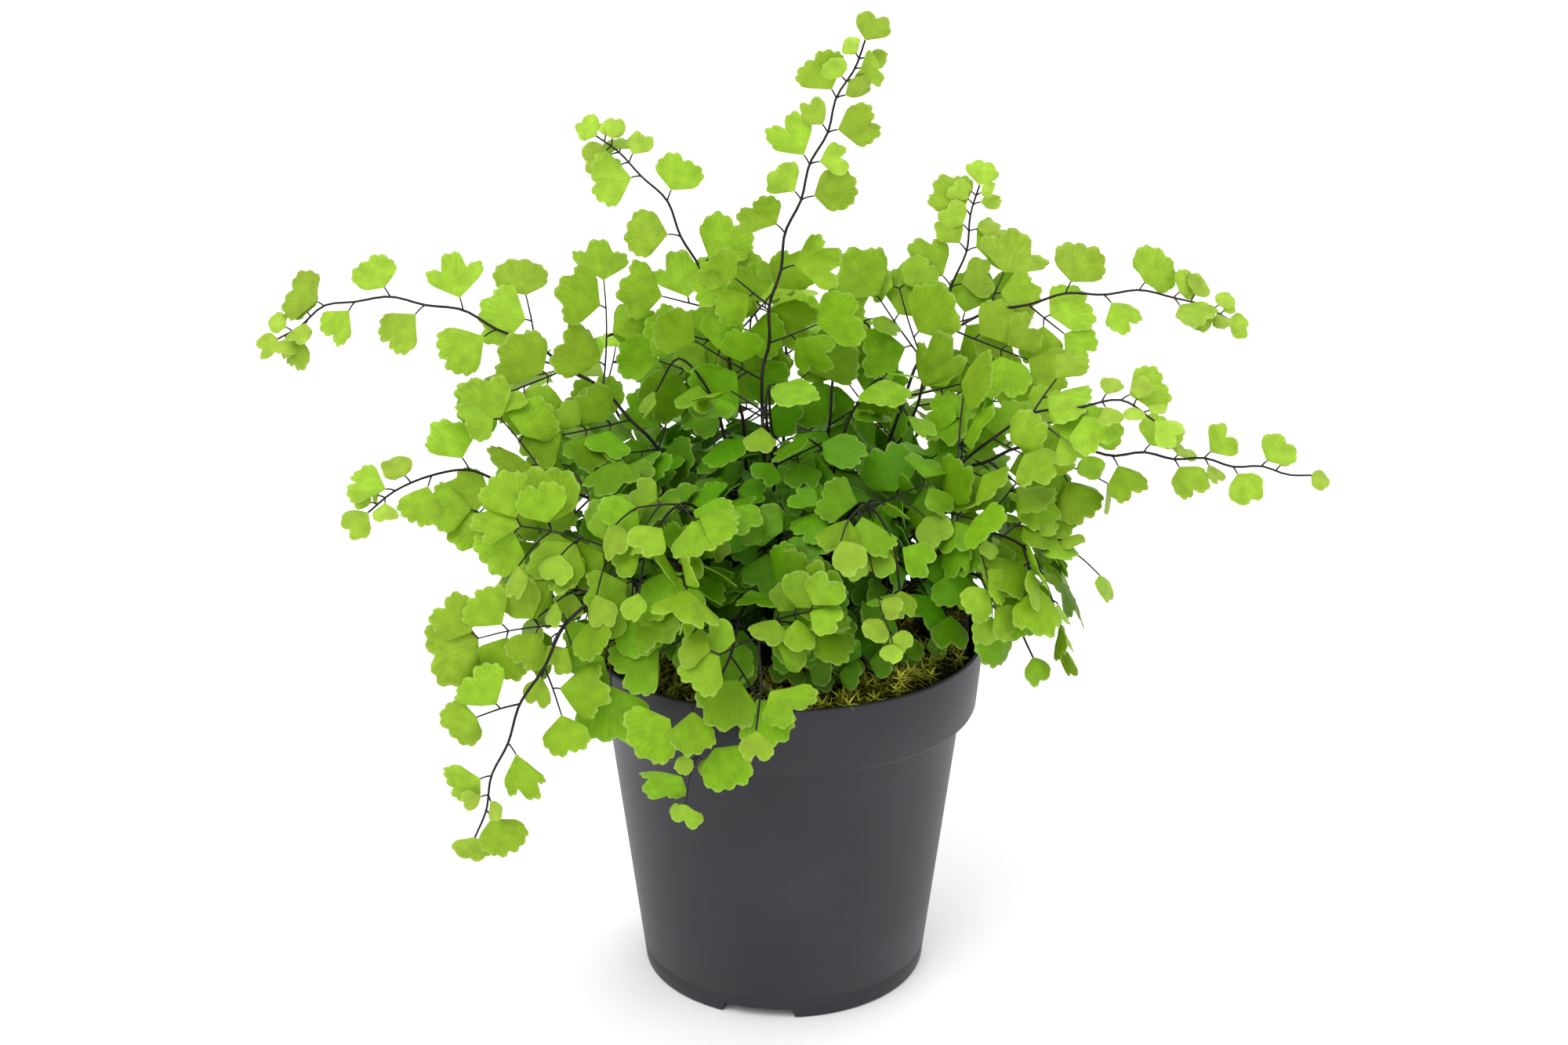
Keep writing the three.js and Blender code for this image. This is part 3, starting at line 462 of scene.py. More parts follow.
@dataclass(frozen=True)
class PlainFinish:
    """An opaque finish of a few colours in patches, with a bump and a span of roughness.

    Where by_tone is above zero, that share of the colour comes from the mesh's own tone.
    """

    name: str
    stops: tuple[tuple[float, str], ...]
    patch_mm: float
    grain_mm: float
    grain_depth_mm: float
    roughness: tuple[float, float]
    specular: float = 0.5
    by_tone: float = 0.0

    def build(self) -> bpy.types.Material:
        """Builds the material: patches give the colour, a finer grain the bump and roughness.

        Returns:
            The material.
        """
        recipe = Recipe(self.name)
        add = recipe.add
        place = add("TexCoord", {}, "Object")
        patch = add("TexNoise", {"Vector": place, "Scale": 1 / (self.patch_mm * MM), "Detail": 4.0})
        value = add("MapRange", {0: patch, 1: 0.3, 2: 0.7, 3: 0.0, 4: 1.0 - self.by_tone})
        if self.by_tone:
            tone = add("Attribute", {}, "Fac", attribute_name="tone")
            own = add("Math", {0: tone, 1: self.by_tone}, operation="MULTIPLY")
            value = add("Math", {0: value, 1: own}, operation="ADD")
        colour = add("ValToRGB", {0: value}, stops=self.stops)
        grain = add("TexNoise", {"Vector": place, "Scale": 1 / (self.grain_mm * MM), "Detail": 3.0})
        rough = add("MapRange", {0: grain, 1: 0.3, 2: 0.7, 3: self.roughness[0], 4: self.roughness[1]})
        bump = add("Bump", {"Height": grain, "Distance": self.grain_depth_mm * MM})
        skin = add("BsdfPrincipled", {"Base Color": colour, "Roughness": rough,
                                      "Specular IOR Level": self.specular, "Normal": bump})
        add("OutputMaterial", {"Surface": skin})
        return recipe.material


class Finish(Enum):
    """The finishes of the plant and its pot, each named for the real material."""

    # Injection-moulded polypropylene with soot in it: an even charcoal with a blue cast, matt with
    # a soft sheen, and hardly any grain.
    POLYPROPYLENE = PlainFinish("moulded_polypropylene", (
        (0.0, "#242329"), (0.5, "#27262c"), (1.0, "#2c2b33")), 30, 0.4, 0.01, (0.42, 0.52), 0.32)
    # Wiry stalk with a hard, polished skin, nearly black with a purple-brown cast.
    WIRY_STALK = PlainFinish("polished_fern_stalk", (
        (0.0, "#0d090a"), (0.6, "#1a1213"), (1.0, "#33231c")), 6, 0.5, 0.02, (0.35, 0.5), 0.25)
    # Moss shoots: olive, brown below and yellow-green at the tips.
    MOSS_SHOOT = PlainFinish("moss_shoots", (
        (0.0, "#241c07"), (0.25, "#4f4a0e"), (0.55, "#8f8f22"), (1.0, "#d4d552")), 3, 0.3, 0.05,
        (0.5, 0.75), 0.25, by_tone=0.8)
    # The dark felt of old moss between the shoots.
    MOSS_FELT = PlainFinish("moss_felt", (
        (0.0, "#0d0903"), (0.5, "#1d1708"), (1.0, "#34330d")), 2.2, 0.5, 0.5, (0.8, 0.95), 0.15)
    # Peat soil: dark crumbs, damp in places.
    PEAT = PlainFinish("peat_soil", (
        (0.0, "#120c08"), (0.5, "#261c15"), (1.0, "#433224")), 3, 0.7, 0.4, (0.7, 0.95), 0.3)
    # Creeping stem under dry scales.
    SCALY_STEM = PlainFinish("scaly_rhizome", (
        (0.0, "#1c120b"), (0.5, "#362416"), (1.0, "#604328")), 1.8, 0.8, 0.35, (0.6, 0.85), 0.3)
    # White board that the pot stands on.
    WHITE_BOARD = PlainFinish("white_board", (
        (0.0, "#fbfbfb"), (1.0, "#fdfdfd")), 60, 2, 0.002, (0.7, 0.8), 0.2)


# The fern


@dataclass
class FrondPlan:
    """Where one frond stands and how it is clad.

    Its stalk runs through the points, from the root to the tip. Side stalks stand off along the
    across direction, left and right in turn, from the end of the bare length on, and each number
    in sides is the leaflets on one of them. Facing turns the leaflets from the frond's own plane
    (0) to the outside of the clump (1).
    """

    name: str
    seed: int
    leaflet: float
    bare: float
    facing: float
    across: tuple[float, float, float]
    points: list[tuple[float, ...]]
    sides: list[int]


# Side stalks with one leaflet each, as near a frond's tip
ONES = [1, 1, 1, 1, 1, 1, 1]
OUTER_FRONDS = [
    FrondPlan("top", 1, 12.5, 0.46, 0.1, (1, 0, 0),
              [(-1, 1), (-6, 0, 172), (-1, -3, 221), (13, -8, 262), (22, -10, 283)], [3, 2, 2, *ONES]),
    FrondPlan("upper_left", 2, 14, 0.42, 0.1, (1, 0, 0.4),
              [(-9, 11), (-14, 12, 177), (-33, 18, 231), (-55, 30, 251)], [3, 3, 3, 2, *ONES[:5]]),
    FrondPlan("left", 4, 14, 0.34, 0.1, (0, 0.5, 0.8),
              [(-15, 5), (-40, 5, 166), (-87, 10, 200), (-127, 17, 205), (-151, 22, 192)],
              [3, 3, 4, 3, 2, *ONES]),
    FrondPlan("lower_left", 4, 14, 0.42, 0.2, (-0.2, 0.6, 0.8),
              [(-14, -4), (-47, -12, 148), (-78, -22, 161), (-97, -31, 167), (-115, -40, 158)],
              [3, 3, 3, 2, 1, 1, 1]),
    FrondPlan("upper_right", 5, 14.5, 0.45, 0.1, (1, 0, 0),
              [(9, 12), (35, 18, 160), (52, 32, 209), (59, 44, 234)], [3, 3, 3, 2, 1, 1, 1]),
    FrondPlan("right", 6, 13.5, 0.42, 0.1, (0, -0.5, -0.8),
              [(15, 5), (38, 10, 184), (69, 18, 203), (111, 26, 205), (134, 30, 196)],
              [3, 3, 3, 2, 2, *ONES[:5]]),
    FrondPlan("lower_right", 7, 10, 0.42, 0.2, (0, -0.5, -0.8),
              [(14, -5), (53, -14, 162), (97, -24, 170), (148, -28, 165)], [3, 3, 2, 2, *ONES, 1]),
    FrondPlan("middle_right", 8, 13, 0.45, 0.3, (0, -0.7, -0.7),
              [(11, -11), (53, -24, 170), (86, -38, 189), (100, -46, 186)], [3, 3, 2, 2, 1, 1]),
    FrondPlan("front_left", 9, 15, 0.36, 0.2, (-0.87, 0.1, 0.5),
              [(-10, -11), (-32, -44, 146), (-55, -56, 136), (-74, -62, 105), (-87, -59, 68)],
              [3, 4, 3, 3, 2, 2, 1, 1, 1]),
    FrondPlan("front", 10, 14, 0.42, 0.4, (1, 0, 0),
              [(-3, -14), (-7, -44, 136), (-17, -68, 121), (-27, -71, 84)], [3, 3, 2, 2, 1, 1]),
    FrondPlan("low_right", 11, 13, 0.42, 0.4, (0.5, -0.5, -0.6),
              [(4, -15), (44, -32, 144), (68, -38, 147), (79, -42, 118)], [3, 3, 3, 2, 1, 1]),
    FrondPlan("back_left", 12, 14, 0.42, 0.4, (0.5, 0.8, 0.2),
              [(-9, -1), (-52, 38, 165), (-80, 56, 176), (-98, 68, 160)], [3, 3, 3, 2, 1, 1]),
    FrondPlan("back_right", 13, 14, 0.42, 0.4, (-0.6, 0.8, 0.2),
              [(3, 15), (46, 46, 160), (72, 66, 168), (86, 78, 150)], [3, 3, 3, 2, 1, 1]),
    FrondPlan("back", 14, 14, 0.45, 0.3, (1, 0, 0),
              [(-4, 15), (0, 40, 180), (-3, 64, 199), (-6, 80, 192)], [3, 3, 2, 2, 1, 1]),
]

# The course of a low sprig over the moss: radius, further turn in radians and height
LOW_COURSE = ((24, 0, 107), (34, 0.03, 113.5), (42, 0.1, 114), (49, 0.2, 112.5))


@dataclass(frozen=True)
class Sprig:
    """A young frond with a few small leaflets, which belongs to the piece of a grown frond.

    It runs through the points, or, where there are none, from the rhizome low over the moss to
    the outside, at a turn from the pot's right side.
    """

    host: str
    number: int
    size: float
    youth: float
    upright: float
    turn: float = 0.0
    points: tuple[tuple[float, float, float], ...] = ()

    def path(self) -> tuple[tuple[float, float, float], ...]:
        """The points that the sprig's stalk runs through.

        Returns:
            The sprig's own points, or its low course, whose turn and height vary by fixed draws.
        """
        if self.points:
            return self.points
        turn = math.radians(self.turn + 14 * (draw(201, self.number) - 0.5))
        swell = 3 * draw(200, self.number)
        return tuple((radius * math.cos(turn + bend), radius * math.sin(turn + bend), height + swell)
                     for radius, bend, height in LOW_COURSE)


SPRIGS = [
    Sprig("front", 0, 7.0, 0.45, 0.2, points=(
        (22, -48, 153), (25.1, -67, 143.1), (26.6, -69, 138.7), (28.3, -70, 134.4), (29.1, -71, 131.2))),
    Sprig("low_right", 10, 11.0, 0.25, 0.2, points=(
        (53.0, -44, 149.9), (54.7, -53, 146.9), (55.9, -56, 142.1), (56.8, -57, 137.0), (56.7, -57, 133.8))),
    Sprig("low_right", 11, 11.0, 0.25, 0.2, points=(
        (64.4, -30, 143.8), (66.4, -34, 137.0), (67.7, -36, 131.4), (66.9, -37, 127.0))),
    *(Sprig("front" if turn < -60 else "low_right", k + 1, 9.0, 0.1, 1.0, turn)
      for k, turn in enumerate((-118, -100, -84, -70, -59, -49))),
]


@dataclass(frozen=True)
class Ring:
    """Fronds of the dense dome that stand in a ring and arch out to a circle of tips."""

    name: str
    count: int
    root_radius: float
    turn: float
    root_turn: float
    reach: float
    top: float
    droop: float
    bare: float
    sides: tuple[int, ...]
    seed: int

    def plans(self) -> list[FrondPlan]:
        """The ring's fronds: each arches out and up to its top and then droops.

        Returns:
            The plan of each frond, in turn round the ring.
        """
        plans = []
        for k in range(self.count):
            seed = self.seed + k
            step = 360 * k / self.count
            turn = math.radians(self.turn + step + 12 * (draw(seed, 1) - 0.5))
            root = math.radians(self.root_turn + step)
            reach = self.reach * spread(0.16, seed, 2)
            top = self.top * spread(0.06, seed, 3)
            out = [(share * reach * math.cos(turn), share * reach * math.sin(turn))
                   for share in (0.5, 0.82, 1)]
            points = [
                (self.root_radius * math.cos(root), self.root_radius * math.sin(root)),
                (*out[0], ROOT_HEIGHT + 0.8 * (top - ROOT_HEIGHT)),
                (*out[1], top),
                (*out[2], top - self.droop),
            ]
            across = (math.sin(turn), -math.cos(turn), 0.0)
            plans.append(FrondPlan(f"{self.name}_{k + 1}", seed, 14, self.bare, 0.75, across, points,
                                   list(self.sides)))
        return plans


RINGS = [
    Ring("inner", 5, 7, 40, 20, 40, 196, 10, 0.45, (3, 2, 2, 1), 21),
    Ring("middle", 6, 20, -5, -5, 70, 164, 20, 0.4, (3, 3, 2, 1), 41),
    Ring("outer", 7, 26, 13, 13, 86, 134, 20, 0.35, (3, 2, 2, 1), 61),
]


class StalkCurve:
    """A Catmull-Rom curve through points, run along by its length."""

    DIVISIONS = 200

    def __init__(self, points: Array) -> None:
        """Keeps the points and the lengths along the curve.

        Args:
            points: what the curve runs through, shaped (points, 3).
        """
        self.points = points
        self.shares = np.linspace(0, 1, self.DIVISIONS + 1)
        steps = np.linalg.norm(np.diff(self.place(self.shares), axis=0), axis=1)
        self.lengths = np.concatenate([[0], np.cumsum(steps)])

    def place(self, share: Array) -> Array:
        """Points at shares of the number of pieces: a cubic whose slope at each given point is half
        the way from the point before it to the point after it.

        Args:
            share: shares between 0 and 1.

        Returns:
            A point for each share.
        """
        p = self.points
        padded = np.vstack([2 * p[0] - p[1], p, 2 * p[-1] - p[-2]])
        along = np.clip(share, 0, 1) * (len(p) - 1)
        piece = np.minimum(along.astype(int), len(p) - 2)
        w = (along - piece)[..., None]
        before, start, end, after = (padded[piece + k] for k in range(4))
        slope, last = (end - before) / 2, (after - start) / 2
        return (start + slope * w + (3 * (end - start) - 2 * slope - last) * w ** 2
                + (2 * (start - end) + slope + last) * w ** 3)

    def share(self, length_share: Array) -> Array:
        """Turns shares of the length into shares of the number of pieces."""
        return np.interp(np.asarray(length_share) * self.lengths[-1], self.lengths, self.shares)

    def at(self, length_share: Array) -> Array:
        """Points at shares of the curve's length."""
        return self.place(self.share(length_share))

    def direction(self, length_share: float) -> Array:
        """The curve's direction at a share of its length.

        Args:
            length_share: the share, between 0 and 1.

        Returns:
            The direction between two points close to the place.
        """
        middle = self.share(length_share)
        low, high = self.place(np.clip(np.array([middle - 1e-4, middle + 1e-4]), 0, 1))
        return unit(high - low)


@dataclass(frozen=True)
class Seat:
    """What a leaflet is set from.

    Its blade begins at the base. The direction is the way that its stalk runs, and outside is the
    way that it keeps to. The face is the frond's upper face. The key picks the draws of its own.
    """

    base: Array
    direction: Array
    outside: Array
    face: Array
    size: float
    key: int


@dataclass
class Leaflet:
    """One fan-shaped leaflet: its seat, its direction, its upper side and its size."""

    seat: Seat
    along: Array
    normal: Array
    size: float
    lobes: int
    half_angle: float
    number: int
    disc: int
    youth: float = 0.0

    @property
    def base(self) -> Array:
        """Where the blade begins."""
        return self.seat.base


@dataclass
class SideStalk:
    """A side stalk: its joints and the leaflet at each of them."""

    joints: list[Array]
    leaflets: list[Leaflet | None]
    twinned: bool = False
    slender: float = 1.0


@dataclass
class Plant:
    """One frond while it grows."""

    plan: FrondPlan
    owner: int
    curve: StalkCurve
    nodes: list[Array] = field(default_factory=list)
    shares: list[float] = field(default_factory=list)
    side_stalks: list[SideStalk] = field(default_factory=list)
    tip: Leaflet | None = None

    def frame_at(self, share: float) -> tuple[Array, Array, Array]:
        """The frame of the frond's stalk at a place on it.

        Args:
            share: the share of its length.

        Returns:
            The stalk's direction, its width direction and its upper face.
        """
        along = self.curve.direction(share)
        across = np.array(self.plan.across, float)
        across = unit(across - along * (across @ along))
        return along, across, np.cross(across, along)

    def side_of(self, k: int) -> int:
        """Side stalks stand on one side and the other in turn."""
        return 1 if (k + self.plan.seed) % 2 == 0 else -1


@dataclass
class Thicket:
    """All stalks (rods) and leaflets (discs) that stand so far, and the tests between them."""

    thickness: float = 0.7
    clearance: float = 0.2
    bed_radius: float = BED_RADIUS
    moss_clearance: float = 1.5
    centres: Array = field(default_factory=lambda: np.zeros((0, 3)))
    normals: Array = field(default_factory=lambda: np.zeros((0, 3)))
    radii: Array = field(default_factory=lambda: np.zeros(0))
    starts: Array = field(default_factory=lambda: np.zeros((0, 3)))
    ends: Array = field(default_factory=lambda: np.zeros((0, 3)))
    widths: Array = field(default_factory=lambda: np.zeros(0))
    owners: Array = field(default_factory=lambda: np.zeros(0, int))

    def add_rod(self, start: Array, end: Array, radius: float, owner: int) -> None:
        """Adds a piece of stalk.

        Args:
            start: where it starts.
            end: where it ends.
            radius: its half width.
            owner: the number of its frond.
        """
        self.starts = np.vstack([self.starts, start])
        self.ends = np.vstack([self.ends, end])
        self.widths = np.append(self.widths, radius)
        self.owners = np.append(self.owners, owner)

    def add_disc(self, centre: Array, normal: Array, radius: float) -> None:
        """Adds a leaflet as the disc that covers it.

        Args:
            centre: the disc's middle.
            normal: the leaflet's upper side.
            radius: the disc's radius.
        """
        self.centres = np.vstack([self.centres, centre])
        self.normals = np.vstack([self.normals, normal])
        self.radii = np.append(self.radii, radius)

    def moss_height(self, radius: Array) -> Array:
        """Height of the moss: highest in the middle, falling with the square of the radius."""
        return MOSS_MIDDLE - MOSS_FALL * np.minimum(1, radius / self.bed_radius) ** 2

    def is_clear_of_pot(self, points: Array, margin: float) -> bool:
        """Whether all points are clear of the floor, the pot and the moss.

        Args:
            points: the points, shaped (points, 3).
            margin: how far they keep from the pot.

        Returns:
            True where none is in the way.
        """
        radius, height = np.hypot(points[:, 0], points[:, 1]), points[:, 2]
        in_rim = (radius < RIM_RADIUS + margin) & (radius > self.bed_radius - 3)
        in_rim &= height < POT_HEIGHT + margin
        over_moss = height >= self.moss_height(radius) + margin + self.moss_clearance
        in_moss = (radius <= self.bed_radius) & ~over_moss
        in_body = (radius < NECK_RADIUS + margin) & (height < POT_HEIGHT - COLLAR_HEIGHT)
        return bool(np.all((height >= 2) & ~in_rim & ~in_moss & ~in_body))

    def ends_near(self, point: Array, reach: float) -> Array:
        """Which stalk pieces have an end close to a point."""
        near_start = np.linalg.norm(self.starts - point, axis=1) < reach
        return near_start | (np.linalg.norm(self.ends - point, axis=1) < reach)

    @staticmethod
    def disc_points(centre: Array, normal: Array, radius: Array) -> Array:
        """The middle and eight points of each disc's edge.

        Args:
            centre: the discs' middles, shaped (..., 3).
            normal: their normals.
            radius: their radii.

        Returns:
            The points, shaped (..., 9, 3).
        """
        first = unit(np.cross(normal, [0.31, 0.95, 0.11]))
        second = np.cross(normal, first)
        turn = np.arange(8) * math.pi / 4
        edge = (first[..., None, :] * np.cos(turn)[:, None] + second[..., None, :] * np.sin(turn)[:, None])
        edge = centre[..., None, :] + edge * np.asarray(radius)[..., None, None]
        return np.concatenate([centre[..., None, :], edge], axis=-2)

    def rods_meet_discs(self, start: Array, end: Array, width: Array, centre: Array, normal: Array,
                        radius: Array) -> Array:
        """Which pairs of a stalk piece and a leaflet meet: where one of seven points along the piece,
        or the point where it goes through the leaflet's plane, lies close to the leaflet.

        Args:
            start: where each piece starts.
            end: where it ends.
            width: its half width.
            centre: the middle of each leaflet's disc.
            normal: its normal.
            radius: its radius.

        Returns:
            True for each pair that meets.
        """
        margin = width + self.thickness / 2 + self.clearance
        step = np.linspace(0, 1, 7)[:, None, None]
        offset = start + (end - start) * step - centre
        height = dot(offset, normal)
        reach = np.linalg.norm(offset - normal * height[..., None], axis=-1)
        meets = np.any((np.abs(height) < margin) & (reach < radius + margin), axis=0)
        low, high = dot(start - centre, normal), dot(end - centre, normal)
        crosses = low * high < 0
        share = np.where(crosses, low / np.where(crosses, low - high, 1), 0)
        crossing = start + (end - start) * share[..., None] - centre
        return meets | (crosses & (np.linalg.norm(crossing, axis=-1) < radius + margin))

    def discs_meet(self, centre: Array, normal: Array, radius: float, near: Array) -> bool:
        """Whether a leaflet meets one of those near it: where an edge point of one lies close to the
        other, or where their chords on the line between their planes overlap.

        Args:
            centre: the middle of the leaflet's disc.
            normal: its normal.
            radius: its radius.
            near: which leaflets that stand are tested.

        Returns:
            True where it meets any.
        """
        others = self.centres[near], self.normals[near], self.radii[near]
        own = tuple(np.broadcast_to(a, b.shape) for a, b in zip((centre, normal, radius), others))
        margin = self.thickness + self.clearance
        for (c1, n1, r1), (c2, n2, r2) in ((own, others), (others, own)):
            offset = self.disc_points(c1, n1, r1) - c2[:, None]
            height = dot(offset, n2[:, None])
            reach = np.linalg.norm(offset - n2[:, None] * height[..., None], axis=-1)
            if np.any((np.abs(height) < margin) & (reach < r2[:, None] + margin)):
                return True
        line = np.cross(own[1], others[1])
        length = np.linalg.norm(line, axis=1)
        good = length >= 0.05
        line = line / np.where(good, length, 1)[:, None]
        chords = [self.chords(own, others, line, margin), self.chords(others, own, line, margin)]
        apart = np.abs(dot(chords[0][0] - chords[1][0], line))
        return bool(np.any(good & chords[0][2] & chords[1][2] & (apart < chords[0][1] + chords[1][1])))

    @staticmethod
    def chords(discs: tuple, others: tuple, line: Array, margin: float) -> tuple[Array, Array, Array]:
        """Each disc's chord on the line in which its plane meets another's.

        Args:
            discs: middles, normals and radii of the discs.
            others: the same of the others.
            line: the direction of each line.
            margin: what the radii grow by.

        Returns:
            The chords' middles and half lengths, and whether there is one.
        """
        in_plane = np.cross(line, discs[1])
        slope = dot(in_plane, others[1])
        good = np.abs(slope) >= 1e-9
        shift = dot(others[0] - discs[0], others[1]) / np.where(good, slope, 1)
        radius = discs[2] + margin
        good &= np.abs(shift) <= radius
        half = np.sqrt(np.maximum(radius ** 2 - shift ** 2, 0))
        return discs[0] + in_plane * shift[:, None], half, good

    def is_leaf_clear(self, centre: Array, normal: Array, radius: float, owner: int, base: Array,
                      reach: float) -> bool:
        """Whether a leaflet is clear. It may come near stalks of its own frond that end at its base.

        Args:
            centre: the middle of its disc.
            normal: its normal.
            radius: its radius.
            owner: the number of its frond.
            base: where its blade begins.
            reach: how near to the base a stalk's end counts as its own.

        Returns:
            True where nothing is in the way.
        """
        if not self.is_clear_of_pot(self.disc_points(centre, normal, radius), self.moss_clearance):
            return False
        gap = np.linalg.norm(self.centres - centre, axis=1)
        near = gap < self.radii + radius + self.thickness
        if np.any(near) and self.discs_meet(centre, normal, radius, near):
            return False
        others = self.rods_near(centre, radius) & ((self.owners != owner) | ~self.ends_near(base, reach))
        return not np.any(self.rods_meet_discs(
            self.starts[others], self.ends[others], self.widths[others], centre, normal, radius))

    def rods_near(self, place: Array, reach: float) -> Array:
        """Which stalk pieces may come within a reach of a place, with 2 mm to spare."""
        gap = np.linalg.norm((self.starts + self.ends) / 2 - place, axis=1)
        return gap < np.linalg.norm(self.ends - self.starts, axis=1) / 2 + reach + 2

    def is_rod_clear(self, start: Array, end: Array, radius: float, owner: int, base: Array) -> bool:
        """Whether a side stalk is clear. It may come near the stalk that it stands on.

        Args:
            start: where the piece starts.
            end: where it ends.
            radius: its half width.
            owner: the number of its frond.
            base: where the side stalk stands on its frond.

        Returns:
            True where nothing is in the way.
        """
        middle, reach = (start + end) / 2, float(np.linalg.norm(end - start)) / 2
        others = self.rods_near(middle, reach) & ((self.owners != owner) | ~self.ends_near(base, 1))
        gap = self.rod_distances(start, end, self.starts[others], self.ends[others])
        if np.any(gap < self.widths[others] + radius + self.clearance):
            return False
        near = np.linalg.norm(self.centres - middle, axis=1) < self.radii + reach + 2
        if np.any(self.rods_meet_discs(start, end, radius, self.centres[near], self.normals[near],
                                       self.radii[near])):
            return False
        return self.is_clear_of_pot(start + (end - start) * np.linspace(0, 1, 5)[:, None], 1)

    @staticmethod
    def rod_distances(p1: Array, q1: Array, p2: Array, q2: Array) -> Array:
        """The shortest distances from one straight piece to many.

        Args:
            p1: the start of the one.
            q1: its end.
            p2: the starts of the many.
            q2: their ends.

        Returns:
            A distance for each of the many.
        """
        d1, d2, r = q1 - p1, q2 - p2, p1 - p2
        a, e, f, c, b = d1 @ d1, dot(d2, d2), dot(d2, r), r @ d1, d2 @ d1
        twist = a * e - b * b
        good = twist > 1e-9
        s = np.where(good, np.clip((b * f - c * e) / np.where(good, twist, 1), 0, 1), 0)
        t = (b * s + f) / e
        s = np.where(t < 0, np.clip(-c / a, 0, 1), np.where(t > 1, np.clip((b - c) / a, 0, 1), s))
        t = np.clip(t, 0, 1)
        return np.linalg.norm(p1 + d1 * s[:, None] - p2 - d2 * t[:, None], axis=1)


@dataclass(frozen=True)
class Stand:
    """Where a side stalk stands on its frond, and what it should become.

    The frame is the frond's direction, its width direction and its upper face there. The angle
    leans the stalk from the frond's tip to its side, which is 1 or -1. The place k in the frond
    and the extra number pick the stalk's own draws.
    """

    plant: Plant
    k: int
    base: Array
    frame: tuple[Array, Array, Array]
    angle: float
    size: float
    side: int
    leaflets: int
    extra: int = 0

    def direction(self, swing: float) -> Array:
        """The way that the stalk sets out.

        Args:
            swing: degrees by which it swings towards the frond's upper face.

        Returns:
            The direction.
        """
        along, across, face = self.frame
        lift = swing + SIDE_LIFT_SPREAD * (draw(self.plant.plan.seed, self.k * 7 + 3) - 0.5)
        return turned_towards(turned_towards(along, across * self.side, self.angle), face, lift)

    def joints(self, swing: float) -> list[Array]:
        """The stalk's joints. It bends a little towards the frond's tip and down.

        Args:
            swing: degrees by which it swings towards the frond's upper face.

        Returns:
            Its base and one joint for each leaflet.
        """
        along, _, face = self.frame
        joints = [self.base]
        direction = self.direction(swing)
        for j in range(self.leaflets):
            wander = SIDE_WANDER * (draw(self.plant.plan.seed, self.k * 31 + j) - 0.5)
            direction = direction + along * SIDE_LEAN + face * wander
            direction = unit(direction - np.array([0, 0, SIDE_DROOP]))
            share = FIRST_JOINT_SHARE if j == 0 else 1
            joints.append(joints[j] + direction * JOINT_SHARE * self.size * share)
        return joints


